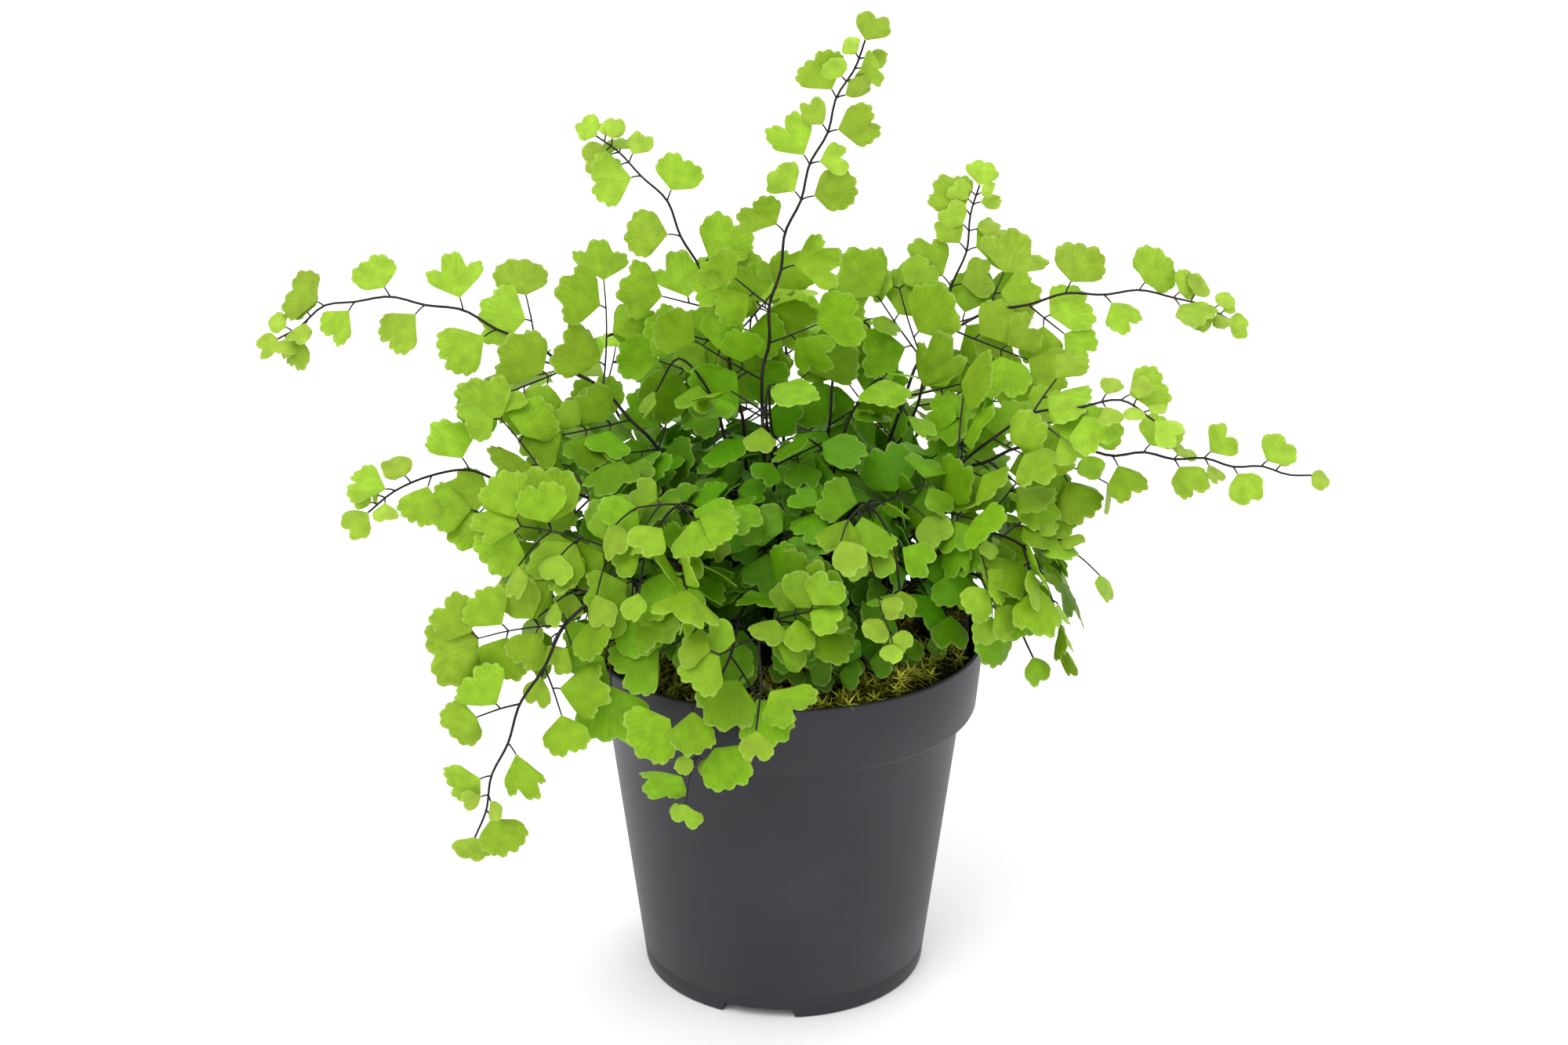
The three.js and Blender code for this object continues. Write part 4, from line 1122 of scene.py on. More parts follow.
@dataclass
class Grower:
    """Grows all fronds by the same rules as the solids, and then fills them out with the smaller
    leaflets that the solids leave out."""

    thicket: Thicket = field(default_factory=Thicket)
    plants: list[Plant] = field(default_factory=list)
    thin_half_width: float = 0.35
    disc_radius: float = 0.64
    keeps_out: float = 0.75
    shrinks: tuple[float, ...] = (1, 0.85, 0.7)
    twists: tuple[float, ...] = (0, 22, -22, 44, -44)
    pitches: tuple[float, ...] = (0, 24, -24)
    filling: bool = False
    choosy: bool = True
    youth: float = 0.0
    leaflets_grown: int = 0

    def grow(self, plans: list[FrondPlan]) -> None:
        """Sets all stalks first, and then clads each frond from its tip down.

        Args:
            plans: where the fronds stand.
        """
        for owner, plan in enumerate(plans):
            points = np.array([(*p, ROOT_HEIGHT)[:3] for p in plan.points], float)
            plant = Plant(plan, owner, StalkCurve(points))
            self.set_nodes(plant)
            for start, end in zip(plant.nodes, plant.nodes[1:]):
                self.thicket.add_rod(start, end, STALK_HALF_WIDTH, owner)
            self.plants.append(plant)
        for plant in self.plants:
            self.clad(plant)

    @staticmethod
    def set_nodes(plant: Plant) -> None:
        """Sets the zigzag corners of a stalk: three along its bare part, one at each side stalk,
        and the tip.

        Args:
            plant: the frond, whose corners and shares are filled in.
        """
        plan, count = plant.plan, len(plant.plan.sides)
        plant.shares = [1 - (1 - plan.bare) * ((count - k) / count) ** STALK_CROWDING
                        for k in range(count)]
        plant.nodes = [plant.curve.at(share * plan.bare) for share in BARE_SHARES]
        for k, share in enumerate(plant.shares):
            aside = plant.frame_at(share)[1] * plant.side_of(k) * ZIGZAG
            plant.nodes.append(plant.curve.at(share) + aside)
        plant.nodes.append(plant.curve.at(1.0))

    def clad(self, plant: Plant) -> None:
        """Grows the tip leaflet and then the side stalks from the top down.

        Args:
            plant: the frond.
        """
        plan, count = plant.plan, len(plant.plan.sides)
        for k in range(count, -1, -1):
            share = k / count
            size = plan.leaflet * (1 - 0.55 * share ** 2.2) * spread(0.2, plan.seed, k * 7 + 1)
            if k == count:
                along, _, face = plant.frame_at(1.0)
                plant.tip = self.leaflet(plant, Seat(plant.nodes[-1], along, along, face, size, k * 7 + 2))
                continue
            self.side(Stand(plant, k, plant.nodes[3 + k], plant.frame_at(plant.shares[k]),
                            SIDE_ANGLE - SIDE_ANGLE_FALL * share, size, plant.side_of(k), plan.sides[k]))

    def side(self, stand: Stand) -> None:
        """Grows one side stalk: a single leaflet on its own stalk, or a branch of several. While
        the fronds are filled out, a stalk ends at its last leaflet.

        Args:
            stand: where it stands.
        """
        grown = self.single(stand) if stand.leaflets == 1 else self.branch(stand)
        if grown and self.filling:
            carries = [j for j, leaf in enumerate(grown.leaflets) if leaf]
            kept = max(carries, default=0) + 1
            grown = SideStalk(grown.joints[:kept], grown.leaflets[:kept]) if carries else None
        if grown:
            stand.plant.side_stalks.append(grown)

    def single(self, stand: Stand) -> SideStalk | None:
        """One leaflet on a short stalk.

        Args:
            stand: where it stands.

        Returns:
            The stalk, or None where there is no room.
        """
        plant, base, size = stand.plant, stand.base, stand.size
        for swing in SWINGS:
            direction = stand.direction(swing)
            tip = base + direction * PETIOLE_SHARE * size
            start = base + direction * (1.5 if self.youth == 0 else 0.9 * PETIOLE_SHARE * size)
            if not self.thicket.is_rod_clear(start, tip, self.thin_half_width, plant.owner, base):
                continue
            leaf = self.leaflet(plant, Seat(tip, direction, stand.frame[1] * stand.side, stand.frame[2],
                                            size, stand.k * 7 + 4 + stand.extra))
            if leaf is None:
                continue
            self.thicket.add_rod(base, tip, self.thin_half_width, plant.owner)
            return SideStalk([base, tip], [None, leaf])
        return None

    def clear_pieces(self, joints: list[Array], owner: int) -> int:
        """How many pieces of a side stalk, counted from the frond's own stalk, are clear.

        Args:
            joints: the side stalk's joints.
            owner: the number of its frond.

        Returns:
            The number of pieces.
        """
        for j, (start, end) in enumerate(zip(joints, joints[1:])):
            off = start + (end - start) * 0.2
            if not self.thicket.is_rod_clear(off, end, self.thin_half_width, owner, joints[0]):
                return j
        return len(joints) - 1

    def branch(self, stand: Stand) -> SideStalk | None:
        """A side stalk with a leaflet at its tip and one at each joint, left and right in turn.

        Args:
            stand: where it stands.

        Returns:
            The stalk, as long as there is room for it, or None where there is none.
        """
        plant, k = stand.plant, stand.k
        best_clear, best = 0, []
        for swing in SWINGS:
            joints = stand.joints(swing)
            clear = self.clear_pieces(joints, plant.owner)
            if clear > best_clear:
                best_clear, best = clear, joints
            if clear == stand.leaflets:
                break
        if best_clear == 0:
            return None
        joints = best[:best_clear + 1]
        for start, end in zip(joints, joints[1:]):
            self.thicket.add_rod(start, end, self.thin_half_width, plant.owner)
        face = stand.frame[2]
        leaflets: list[Leaflet | None] = [None] * len(joints)
        for j in range(best_clear, 0, -1):
            direction = unit(joints[j] - joints[j - 1])
            length = stand.size * spread(0.3, plant.plan.seed, k * 31 + j + 9 + stand.extra)
            sideways = unit(np.cross(face, direction)) * (1 if (j + k) % 2 else -1)
            key = k * 31 + j + 11 + stand.extra
            lean = turned_towards(direction, sideways, JOINT_LEAF_ANGLE)
            at_tip = Seat(joints[j], direction, direction, face, length, key)
            aside = Seat(joints[j] + lean * JOINT_PETIOLE_SHARE * length, lean, sideways, face, length, key)
            leaflets[j] = self.leaflet(plant, at_tip if j == best_clear else aside)
        return SideStalk(joints, leaflets)

    def leaflet(self, plant: Plant, seat: Seat, youth: float = 0.0) -> Leaflet | None:
        """Sets a leaflet at the end of its stalk, turned until it is clear of all that stands so far.

        It lies between the frond's own plane and the outside of the clump, by the frond's facing.
        From there it is made smaller, twisted round its stalk and pitched, each by steps.

        Args:
            plant: the frond that it grows on.
            seat: what it is set from.
            youth: 0 for a grown leaflet and 1 for a very young one.

        Returns:
            The leaflet, or None where there is no room.
        """
        facing, seed = plant.plan.facing, plant.plan.seed
        base, direction, key = seat.base, seat.direction, seat.key
        wanted = self.is_wanted(plant, base + direction * 6, draw(seed, key + 9))
        if self.filling and self.choosy and not wanted:
            return None
        outward = unit(base - np.array([0, 0, CLUMP_FOOT]))
        upper = seat.face * (-1 if seat.face @ outward < 0 else 1)
        along = direction - outward * (direction @ outward) * facing - np.array([0, 0, LEAF_DROOP * facing])
        along = unit(along)
        normal = unit(upper * (1 - facing) + outward * facing)
        normal = normal - along * (normal @ along)
        if np.linalg.norm(normal) < 0.2:
            normal = upper - along * (upper @ along)
        normal = unit(normal)
        side = np.cross(normal, along)
        own_twist = LEAF_TWIST_SPREAD * (draw(seed, key) - 0.5)
        own_pitch = LEAF_PITCH_SPREAD * (draw(seed, key + 5) - 0.5)
        for shrink, twist, pitch in itertools.product(self.shrinks, self.twists, self.pitches):
            tilted = turned_towards(normal, side, twist + own_twist)
            reach = turned_towards(along, tilted, pitch + own_pitch)
            if reach @ seat.outside < self.keeps_out:
                continue
            up = unit(np.cross(reach, np.cross(tilted, reach)))
            length = seat.size * shrink
            centre = base + reach * 0.5 * length
            radius = self.disc_radius * length
            if self.thicket.is_leaf_clear(centre, up, radius, plant.owner, base, 0.2 * seat.size):
                self.thicket.add_disc(centre, up, radius)
                self.leaflets_grown += 1
                lobes = 2 if length < THREE_LOBED_SIZE or draw(seed, key + 3) < 0.5 else 3
                half_angle = LEAF_HALF_ANGLE + LEAF_ANGLE_SPREAD * draw(seed, key + 2)
                return Leaflet(seat, reach, up, length, lobes, half_angle, seed * 1000 + key,
                               len(self.thicket.radii) - 1, youth or self.youth)
        return None

    @staticmethod
    def is_wanted(plant: Plant, middle: Array, chance: float) -> bool:
        """Whether the filling puts a leaflet here.

        It seldom does so high up in the dome or far out to the sides, where the fronds stand free.
        It never does so where the leaflet would hang over the rim or hide the moss. What hides it
        from the front is told by the height at which the view through it meets the pot's middle.

        Args:
            plant: the frond that it grows on.
            middle: about where the leaflet's middle comes to be.
            chance: the leaflet's own draw.

        Returns:
            True where it does.
        """
        x, y, z = middle
        if plant.plan.facing > DOME_FACING:
            share = np.interp(z, (148, 166, 182), (1.0, 0.3, 0.0))
        else:
            share = np.interp(abs(x), (70, 95), (0.85, 0.6)) * np.interp(z, (155, 174), (1.0, 0.38))
        over_rim = math.hypot(x, y) > 50 and z < 116
        lowest = SEEN_FROM_LEFT if x < 30 else SEEN_FROM_RIGHT
        before_moss = y < 5 and -58 < x < 61 and seen_height(middle) < lowest
        return chance < share and not over_rim and not before_moss

    def fill_out(self) -> None:
        """Fills the fronds out with the smaller leaflets that the solids leave out.

        A blade is thinner here than in the solids, so blades stand closer. First the leaflets that
        stand grow into the room that there is, and face the way that they would. Then come the
        leaflets across each joint, more side stalks, and young leaflets that hang in front.
        """
        self.thicket.radii *= 0.8
        self.disc_radius *= 0.8
        self.thicket.thickness, self.thicket.clearance = 0.3, 0.1
        self.keeps_out = 0.5
        self.twists, self.pitches = (0, 18, -18, 34, -34), (0, 18, -18)
        for plant in self.plants:
            self.settle(plant)
        self.shrinks = (1, 0.85, 0.7)
        self.filling, self.keeps_out, self.thin_half_width = True, 0.25, 0.8
        for step in (self.twin_joints, self.more_sides, self.twin_joints):
            for plant in self.plants:
                step(plant)
        self.choosy = False
        for sprig in SPRIGS:
            self.add_sprig(sprig)
        self.choosy = True
        self.hang_young()
        self.close_gaps()

    def settle(self, plant: Plant) -> None:
        """Seats each leaflet of a frond again, larger and less turned where there is room.

        Args:
            plant: the frond.
        """
        for side in plant.side_stalks:
            side.leaflets = [leaf and self.seat_again(plant, leaf) for leaf in side.leaflets]
        if plant.tip:
            plant.tip = self.seat_again(plant, plant.tip)

    def seat_again(self, plant: Plant, leaf: Leaflet) -> Leaflet:
        """Seats a leaflet again. Those that half hide the high moss from the front stay small.

        Args:
            plant: its frond.
            leaf: the leaflet.

        Returns:
            The leaflet in its better place, or as it was where there is none.
        """
        radius = self.thicket.radii[leaf.disc]
        centre = self.thicket.centres[leaf.disc].copy()
        self.thicket.centres[leaf.disc] = (0, 0, -1e4)
        if leaf.seat.size < 10:
            self.shrinks = (1.4, 1.2, 1.05, 0.9, 0.8)
        elif 36 < centre[0] < 58 and centre[1] < -30 and centre[2] < 129:
            self.shrinks = (0.8,)
        else:
            self.shrinks = (1.0, 0.9, 0.8) if plant.plan.facing > DOME_FACING else (1.12, 1.0, 0.9, 0.8)
        better = self.leaflet(plant, leaf.seat)
        if better is None:
            self.thicket.centres[leaf.disc] = centre
            self.thicket.radii[leaf.disc] = radius
            return leaf
        self.leaflets_grown -= 1
        return better

    def twin_joints(self, plant: Plant) -> None:
        """At each joint of a side stalk, sets a leaflet on each side that has none yet.

        Args:
            plant: the frond.
        """
        seed = plant.plan.seed
        for number, side in enumerate(list(plant.side_stalks)):
            if len(side.joints) == 2 or side.twinned:
                continue
            side.twinned = True
            across = plant.frame_at(0.8)[2]
            for j, sign in itertools.product(range(1, len(side.joints)), (1, -1)):
                direction = unit(side.joints[j] - side.joints[j - 1])
                face = unit(np.cross(direction, np.cross(across, direction)))
                sideways = unit(np.cross(face, direction)) * sign
                lean = turned_towards(direction, sideways, 58)
                key = 900 + number * 17 + j * 3 + sign
                size = plant.plan.leaflet * (0.62 + 0.34 * draw(seed, key + 1))
                base = side.joints[j] + lean * 0.2 * size
                leaf = self.leaflet(plant, Seat(base, lean, sideways, face, size, key))
                if leaf:
                    plant.side_stalks.append(SideStalk([side.joints[j], base], [None, leaf]))

    def more_sides(self, plant: Plant) -> None:
        """Grows side stalks across from those that stand, between them, and along the bare part, and
        the small leaflets that crowd the tip of a frond that stands free.

        Args:
            plant: the frond.
        """
        plan, count = plant.plan, len(plant.plan.sides)
        last = len(plant.nodes) - 1
        line = StalkCurve(np.stack(plant.nodes))
        dense = plan.facing > DOME_FACING
        for k in range(count):
            share = k / count
            size = plan.leaflet * (0.86 - 0.25 * share)
            several = plan.sides[k] > 1
            number = max(2, plan.sides[k] - 1) if several else 1
            angle = 66 - SIDE_ANGLE_FALL * share
            if share < 0.9 and (several or draw(plan.seed, 70 + k) < 0.8):
                self.side(Stand(plant, k, plant.nodes[3 + k], plant.frame_at(plant.shares[k]), angle, size,
                                -plant.side_of(k), number, 400))
            if k + 1 < count and (several or draw(plan.seed, 90 + k) < 0.4):
                middle = plant.frame_at((plant.shares[k] + plant.shares[k + 1]) / 2)
                self.side(Stand(plant, k, line.place(np.array((3.5 + k) / last)), middle, angle, 0.9 * size,
                                plant.side_of(k), number + 1 if dense and several else number, 450))
        hangs = plan.points[-1][2] < ROOT_HEIGHT
        self.youth, self.choosy = 0.5, False
        for k, back in enumerate(() if dense else (1.45,) if hangs else (0.35, 0.65, 1.45)):
            for sign in (1, -1):
                frame_here = plant.frame_at(1 - back / (count + 1))
                self.side(Stand(plant, 40 + k, line.place(np.array(1 - back / last)), frame_here, 60,
                                (0.42 + 0.08 * k) * plan.leaflet, sign, 1, 600 + 20 * sign))
        self.youth, self.choosy = 0.0, True
        for k, place in enumerate((2.7, 2.3, 1.9, 1.5, 1.2)):
            for sign in (1, -1):
                frame_here = plant.frame_at(plan.bare * min(1.0, place / 3))
                self.side(Stand(plant, 20 + k, line.place(np.array(place / last)), frame_here, 62,
                                0.85 * plan.leaflet, sign, 3 if dense else 2, 500 + 20 * sign))

    def add_sprig(self, sprig: Sprig) -> None:
        """Grows a young frond: a leaflet at each joint, left and right in turn, and two at its tip.
        One that is given by points starts at the joint that stands nearest to the first of them.

        Args:
            sprig: where it stands and how it is clad.
        """
        plant = next(plant for plant in self.plants if plant.plan.name == sprig.host)
        joints = [np.array(point, float) for point in sprig.path()]
        if sprig.points:
            starts = [joint for other in self.plants for side in other.side_stalks for joint in side.joints]
            joints[0] = min(starts, key=lambda joint: float(np.linalg.norm(joint - joints[0])))
        last, leaflets = len(joints) - 1, [None] * len(joints)
        for j in range(1, len(joints)):
            way = unit(joints[j] - joints[j - 1])
            face = unit(joints[j] * [0.6, 1, 0] + [0, 0, 20 * sprig.upright])
            sideways = unit(np.cross(face, way)) * (1 if j % 2 else -1)
            lean = turned_towards(way, sideways, 28 if j >= last - 1 else 50)
            base, size = joints[j] + lean * (1.2 if j < last else 0), 0.8 if j == last else 1
            for shrink in (1, 0.85):
                seat = Seat(base, lean, lean, face, sprig.size * shrink * size, 3000 + sprig.number * 9 + j)
                leaflets[j] = leaflets[j] or self.leaflet(plant, seat, sprig.youth)
        if any(leaflets):
            plant.side_stalks.append(SideStalk(joints, leaflets, True, SPRIG_SLENDER))

    def hang_young(self) -> None:
        """Sets young, round, pale leaflets on hair-thin stalks that hang in front of the clump.

        A joint of a side stalk in the front of the clump carries one where a draw says so. Its
        stalk runs outward and down by other draws.
        """
        hosts = [(plant, side.joints[j]) for plant in self.plants for side in plant.side_stalks
                 if len(side.joints) > 2 for j in range(1, len(side.joints))]
        grown = 0
        for number, (plant, joint) in enumerate(hosts):
            is_front = joint[1] < -18 and abs(joint[0]) < 78 and 108 < joint[2] < 172
            if not is_front or draw(77, number) > YOUNG_CHANCE:
                continue
            outward = unit(joint * [1, 1, 0])
            reach = 7 + 9 * draw(78, number)
            way = unit(outward * 0.9 + np.array([draw(79, number) - 0.5, 0, -0.25 - 0.5 * draw(80, number)]))
            base = joint + way * reach
            hang = unit(np.array([draw(81, number) - 0.5, -0.15, -0.8]))
            clear = self.thicket.is_rod_clear(joint + way * 2, base, HAIR_HALF_WIDTH, plant.owner, joint)
            if seen_height(base) < YOUNG_SEEN_FROM or not clear:
                continue
            size = 8.6 + 2.2 * draw(82, number)
            leaf = self.leaflet(plant, Seat(base, hang, hang, outward, size, 700 + number), 0.4)
            if leaf:
                grown += 1
                self.thicket.add_rod(joint, base, HAIR_HALF_WIDTH, plant.owner)
                plant.side_stalks.append(SideStalk([joint, base], [None, leaf]))
        LOG.info("young leaflets in front: %d", grown)

    def close_gaps(self) -> None:
        """Sets single leaflets on short stalks in the gaps of the clump's heart.

        Places are drawn in a flat egg round the heart. The joint that stands nearest to a place
        carries the leaflet, which grows from it towards the place.
        """
        hosts = [(plant, joint) for plant in self.plants for joint in plant.nodes[1:]]
        hosts += [(plant, joint) for plant in self.plants for side in plant.side_stalks
                  if len(side.joints) > 2 for joint in side.joints[1:]]
        joints = np.stack([joint for _, joint in hosts])
        self.shrinks, self.twists, self.pitches = (1, 0.8), (0, 20, -20), (0,)
        grown = 0
        for number in range(GAP_DRAWS):
            ray = unit(np.array([draw(90 + k, number) - 0.5 for k in range(3)]))
            place = np.array(HEART) + ray * HEART_SIZE * draw(94, number) ** 0.4
            gap = np.linalg.norm(joints - place, axis=1)
            nearest = int(np.argmin(gap))
            if not 4 < gap[nearest] < 13:
                continue
            plant, joint = hosts[nearest]
            way = unit(place - joint)
            base, outward = joint + way * 3, unit(place * [1, 1, 0])
            seat = Seat(base, way, way, outward, 9 + 4 * draw(95, number), 2000 + number)
            leaf = self.leaflet(plant, seat)
            if leaf:
                grown += 1
                plant.side_stalks.append(SideStalk([joint, base], [None, leaf]))
        LOG.info("leaflets in gaps: %d", grown)


@dataclass
class Foliage:
    """The meshes of the fronds: blades with lobed and toothed rims, and round wiry stalks."""

    # The parts that a blade's rim is cut into, from which size on and up to which
    RIM_PARTS = ((24, 11, math.inf), (16, 8, 11), (12, 0, 8))

    grower: Grower
    blade: bpy.types.Material
    stalk: bpy.types.Material
    shoulder_degrees: float = 115.0
    crenation: float = 0.07
    half_thickness: float = 0.14
    root_radius: float = 0.7
    tip_radius: float = 0.3
    side_radius: float = 0.32
    petiole_radius: float = 0.23

    def build(self) -> None:
        """Builds the two pieces of each frond."""
        for plant in self.grower.plants:
            node = f"frond_{plant.plan.name}"
            leaves = [leaf for side in plant.side_stalks for leaf in side.leaflets if leaf]
            leaves += [plant.tip] if plant.tip else []
            surfaces = []
            for columns, least, most in self.RIM_PARTS:
                group = [leaf for leaf in leaves if least <= leaf.size < most]
                surfaces += [self.blades(group, columns)] if group else []
            make_piece(f"{plant.plan.name}_leaflets", surfaces[0].joined(surfaces[1:]), self.blade,
                       (node,))
            make_piece(f"{plant.plan.name}_stalks", self.stalks(plant), self.stalk, (node,))

    def blades(self, leaves: list[Leaflet], columns: int) -> Surface:
        """Thin fans that are closed all round.

        A rim point stands on an ellipse that the blade's base hangs from: its middle is half the
        size out, and it is wider than long. The rim is drawn in where lobes meet, by a bell curve
        round each meeting, and by a small sine for each scallop between them. Inner points lie at a
        set share of the way to the rim. The blade is cupped with the square of the reach, folded
        along its middle, and waved along the rim with the cube of the reach.

        Args:
            leaves: the leaflets.
            columns: the parts that each rim is cut into.

        Returns:
            The blades' surface, with the share across the fan and the reach as UV.
        """
        seeds = np.array([leaf.number for leaf in leaves], float)
        chance = draws(seeds, 9, 78.233)[:, :, None]
        size = np.array([leaf.size for leaf in leaves])[:, None]
        lobes = np.array([leaf.lobes for leaf in leaves])[:, None]
        youth = np.array([leaf.youth for leaf in leaves])[:, None]
        wide = np.array([leaf.half_angle for leaf in leaves])[:, None] / 54
        x = np.linspace(0, 1, columns + 1)[None, :]
        middle = 2 * x - 1
        turn = middle * np.radians(self.shoulder_degrees + 22 * chance[6] + 16 * youth
                                   + 10 * (chance[7] - 0.5))
        half_length = 0.42 + 0.07 * chance[6] + 0.02 * youth
        out = 1 - half_length + half_length * np.cos(turn)
        aside = (0.58 * wide - 0.12 * youth) * np.sin(turn)
        lobe = lobes * x
        nearest = np.round(lobe)
        inner = (nearest > 0) & (nearest < lobes)
        cleft = np.exp(-(np.abs(lobe - nearest) / 0.14) ** 1.2) * inner
        drawn_in = 1 - (0.06 + 0.24 * chance[1] ** 1.5) * (1 - 0.7 * youth) * cleft
        scallops = columns // 3 if columns == 24 else columns // 4
        scallop = 1 - self.crenation * (1 - np.abs(np.sin(scallops * np.pi * x)) ** 0.8)
        ragged = 1 + 0.035 * np.sin(seeds[:, None] + 17 * x) + 0.16 * (chance[0] - 0.5) * middle
        edge = size * drawn_in * scallop * ragged
        cup = (chance[2] - 0.75) * 0.26 * size
        fold = (chance[3] - 0.5) * 0.2 * size
        wave = 0.045 * size * np.sin(2 * np.pi * ((1 + chance[8]) * x + chance[4]))
        base, along, normal = (np.stack([getattr(leaf, name) for leaf in leaves])
                               for name in ("base", "along", "normal"))
        width = np.cross(normal, along)
        rows, uv_rows = [], [np.array([[0.5, 0.0]])]
        for reach, step in ((0.58, 2), (1.0, 1)):
            lift = cup * reach ** 2 + fold * np.abs(middle) * reach + wave * reach ** 3
            rows.append((base[:, None] + along[:, None] * (edge * out * reach)[..., None]
                         + width[:, None] * (edge * aside * reach)[..., None]
                         + normal[:, None] * lift[..., None])[:, ::step])
            across = x[0, ::step]
            uv_rows.append(np.stack([across, np.full(len(across), reach)], axis=1))
        sheets = []
        for sign in (1, -1):
            shell = normal[:, None] * sign * self.half_thickness
            sheets += [base[:, None] + shell, rows[0] + shell, rows[1] + shell * 0.6]
        points = np.concatenate(sheets, axis=1)
        per_blade = points.shape[1]
        uv = np.tile(np.vstack(uv_rows * 2), (len(leaves), 1))
        tone = self.tones(leaves, base + along * size * 0.5, chance[5][:, 0])
        tone = np.repeat(tone, per_blade, axis=0)
        offset = (np.arange(len(leaves)) * per_blade)[:, None, None]
        faces = [(group[None] + offset).reshape(-1, group.shape[1])
                 for group in self.blade_faces(columns)]
        return Surface(points.reshape(-1, 3), faces, uv, tone)

    @staticmethod
    def blade_faces(columns: int) -> list[Array]:
        """The faces of one blade: a fan and a band of five-sided faces on both sides, the rim, and
        the two straight edges.

        Args:
            columns: the parts that the rim is cut into, twice as many as the inner row has.

        Returns:
            Groups of faces with the same number of corners.
        """
        half = columns // 2
        lower = 1 + half + 1 + columns + 1
        j = np.arange(half)
        near, far = 1 + j, half + 2 + 2 * j
        zero = np.zeros(half, int)
        fan = np.stack([zero, near, near + 1], 1)
        band = np.stack([near, far, far + 1, far + 2, near + 1], 1)
        rim = half + 2 + np.arange(columns)
        quads = [np.stack([rim + lower, rim + 1 + lower, rim + 1, rim], 1)]
        first, last = (0, 1, half + 2), (0, half + 1, half + 2 + columns)
        for a, b in zip(first, first[1:]):
            quads.append(np.array([[a + lower, b + lower, b, a]]))
        for a, b in zip(last, last[1:]):
            quads.append(np.array([[a, b, b + lower, a + lower]]))
        return [np.vstack([fan, fan[:, ::-1] + lower]), np.vstack([band, band[:, ::-1] + lower]),
                np.vstack(quads)]

    @staticmethod
    def tones(leaves: list[Leaflet], middles: Array, chance: Array) -> Array:
        """What a blade's colour goes by: a chance, how far out of the clump it stands, and its youth.

        The way out is the length of the place seen from the clump's middle, each axis divided by
        the clump's half size there. It sets the painted light: blades in the heart get painted shade and
        blades outside painted light. It counts less low down over the pot, where blades are shaded, but
        not on the fronds that hang out over the rim. Small blades far out look young, and blades furthest
        out get painted paleness through their youth.

        Args:
            leaves: the leaflets.
            middles: the middle of each blade.
            chance: each blade's own draw.

        Returns:
            The chance, the painted light and the youth, which holds painted paleness far out, as red,
            green and blue, shaped (leaves, 4).
        """
        out = np.linalg.norm((middles - CLUMP_MIDDLE) / CLUMP_HALF_SIZE, axis=1)
        inside = np.clip((72 - np.linalg.norm(middles[:, :2], axis=1)) / 14, 0, 1)
        low = np.clip((140 - middles[:, 2]) / 36, 0, 1) * np.exp(-(middles[:, 0] / 62) ** 4) * inside
        # Painted shade in the clump's heart and low over the pot, painted light outside
        painted_light = np.clip((out - 0.3) / 0.75, 0, 1) * (1 - LOW_SHADE * low)
        youth = np.array([leaf.youth for leaf in leaves])
        small = np.clip((11 - np.array([leaf.size for leaf in leaves])) / 10, 0, 0.5) * (painted_light > 0.6)
        # Painted light: blades far out of the clump are made paler through the youth channel
        far = np.clip((out - 0.95) * 1.1, 0, 0.45)
        return np.stack([chance, painted_light, np.maximum(youth, small + far), np.ones(len(leaves))], axis=1)

    def stalks(self, plant: Plant) -> Surface:
        """The frond's own stalk, its side stalks and the thin stalk of each leaflet, as tubes.

        A leaflet's stalk is a straight line that is raised by a parabola.

        Args:
            plant: the frond.

        Returns:
            The tubes' surface.
        """
        stations = np.linspace(0, 1, 64)
        main = StalkCurve(np.stack(plant.nodes)).at(stations)[None]
        main_radius = np.linspace(self.root_radius, self.tip_radius, len(stations))[None]
        parts = [tubes(main, main_radius, 8)]
        long_ones = [side for side in plant.side_stalks if len(side.joints) > 2]
        if long_ones:
            steps = np.linspace(0, 1, 12)
            paths = np.stack([StalkCurve(np.stack(side.joints)).at(steps) for side in long_ones])
            radii = self.side_radius + (self.petiole_radius - self.side_radius) * steps
            slender = np.array([[side.slender] for side in long_ones])
            parts.append(tubes(paths, radii * slender, 6))
        ends = [(side.joints[0], side.joints[1]) for side in plant.side_stalks if len(side.joints) == 2]
        ends += [(joint, leaf.base + leaf.along * 0.3) for side in long_ones
                 for joint, leaf in zip(side.joints[:-1], side.leaflets[:-1]) if leaf]
        if ends:
            start, end = (np.stack([pair[k] for pair in ends])[:, None] for k in (0, 1))
            share = np.linspace(0, 1, 4)[None, :, None]
            rise = np.array([0, 0, 1.0]) * 0.06 * np.linalg.norm(end - start, axis=-1, keepdims=True)
            paths = start + (end - start) * share + rise * 4 * share * (1 - share)
            radii = self.petiole_radius * np.linspace(1.2, 1, 4)
            parts.append(tubes(paths, np.broadcast_to(radii, paths.shape[:2]), 5))
        return parts[0].joined(parts[1:])


# The pot and what fills it


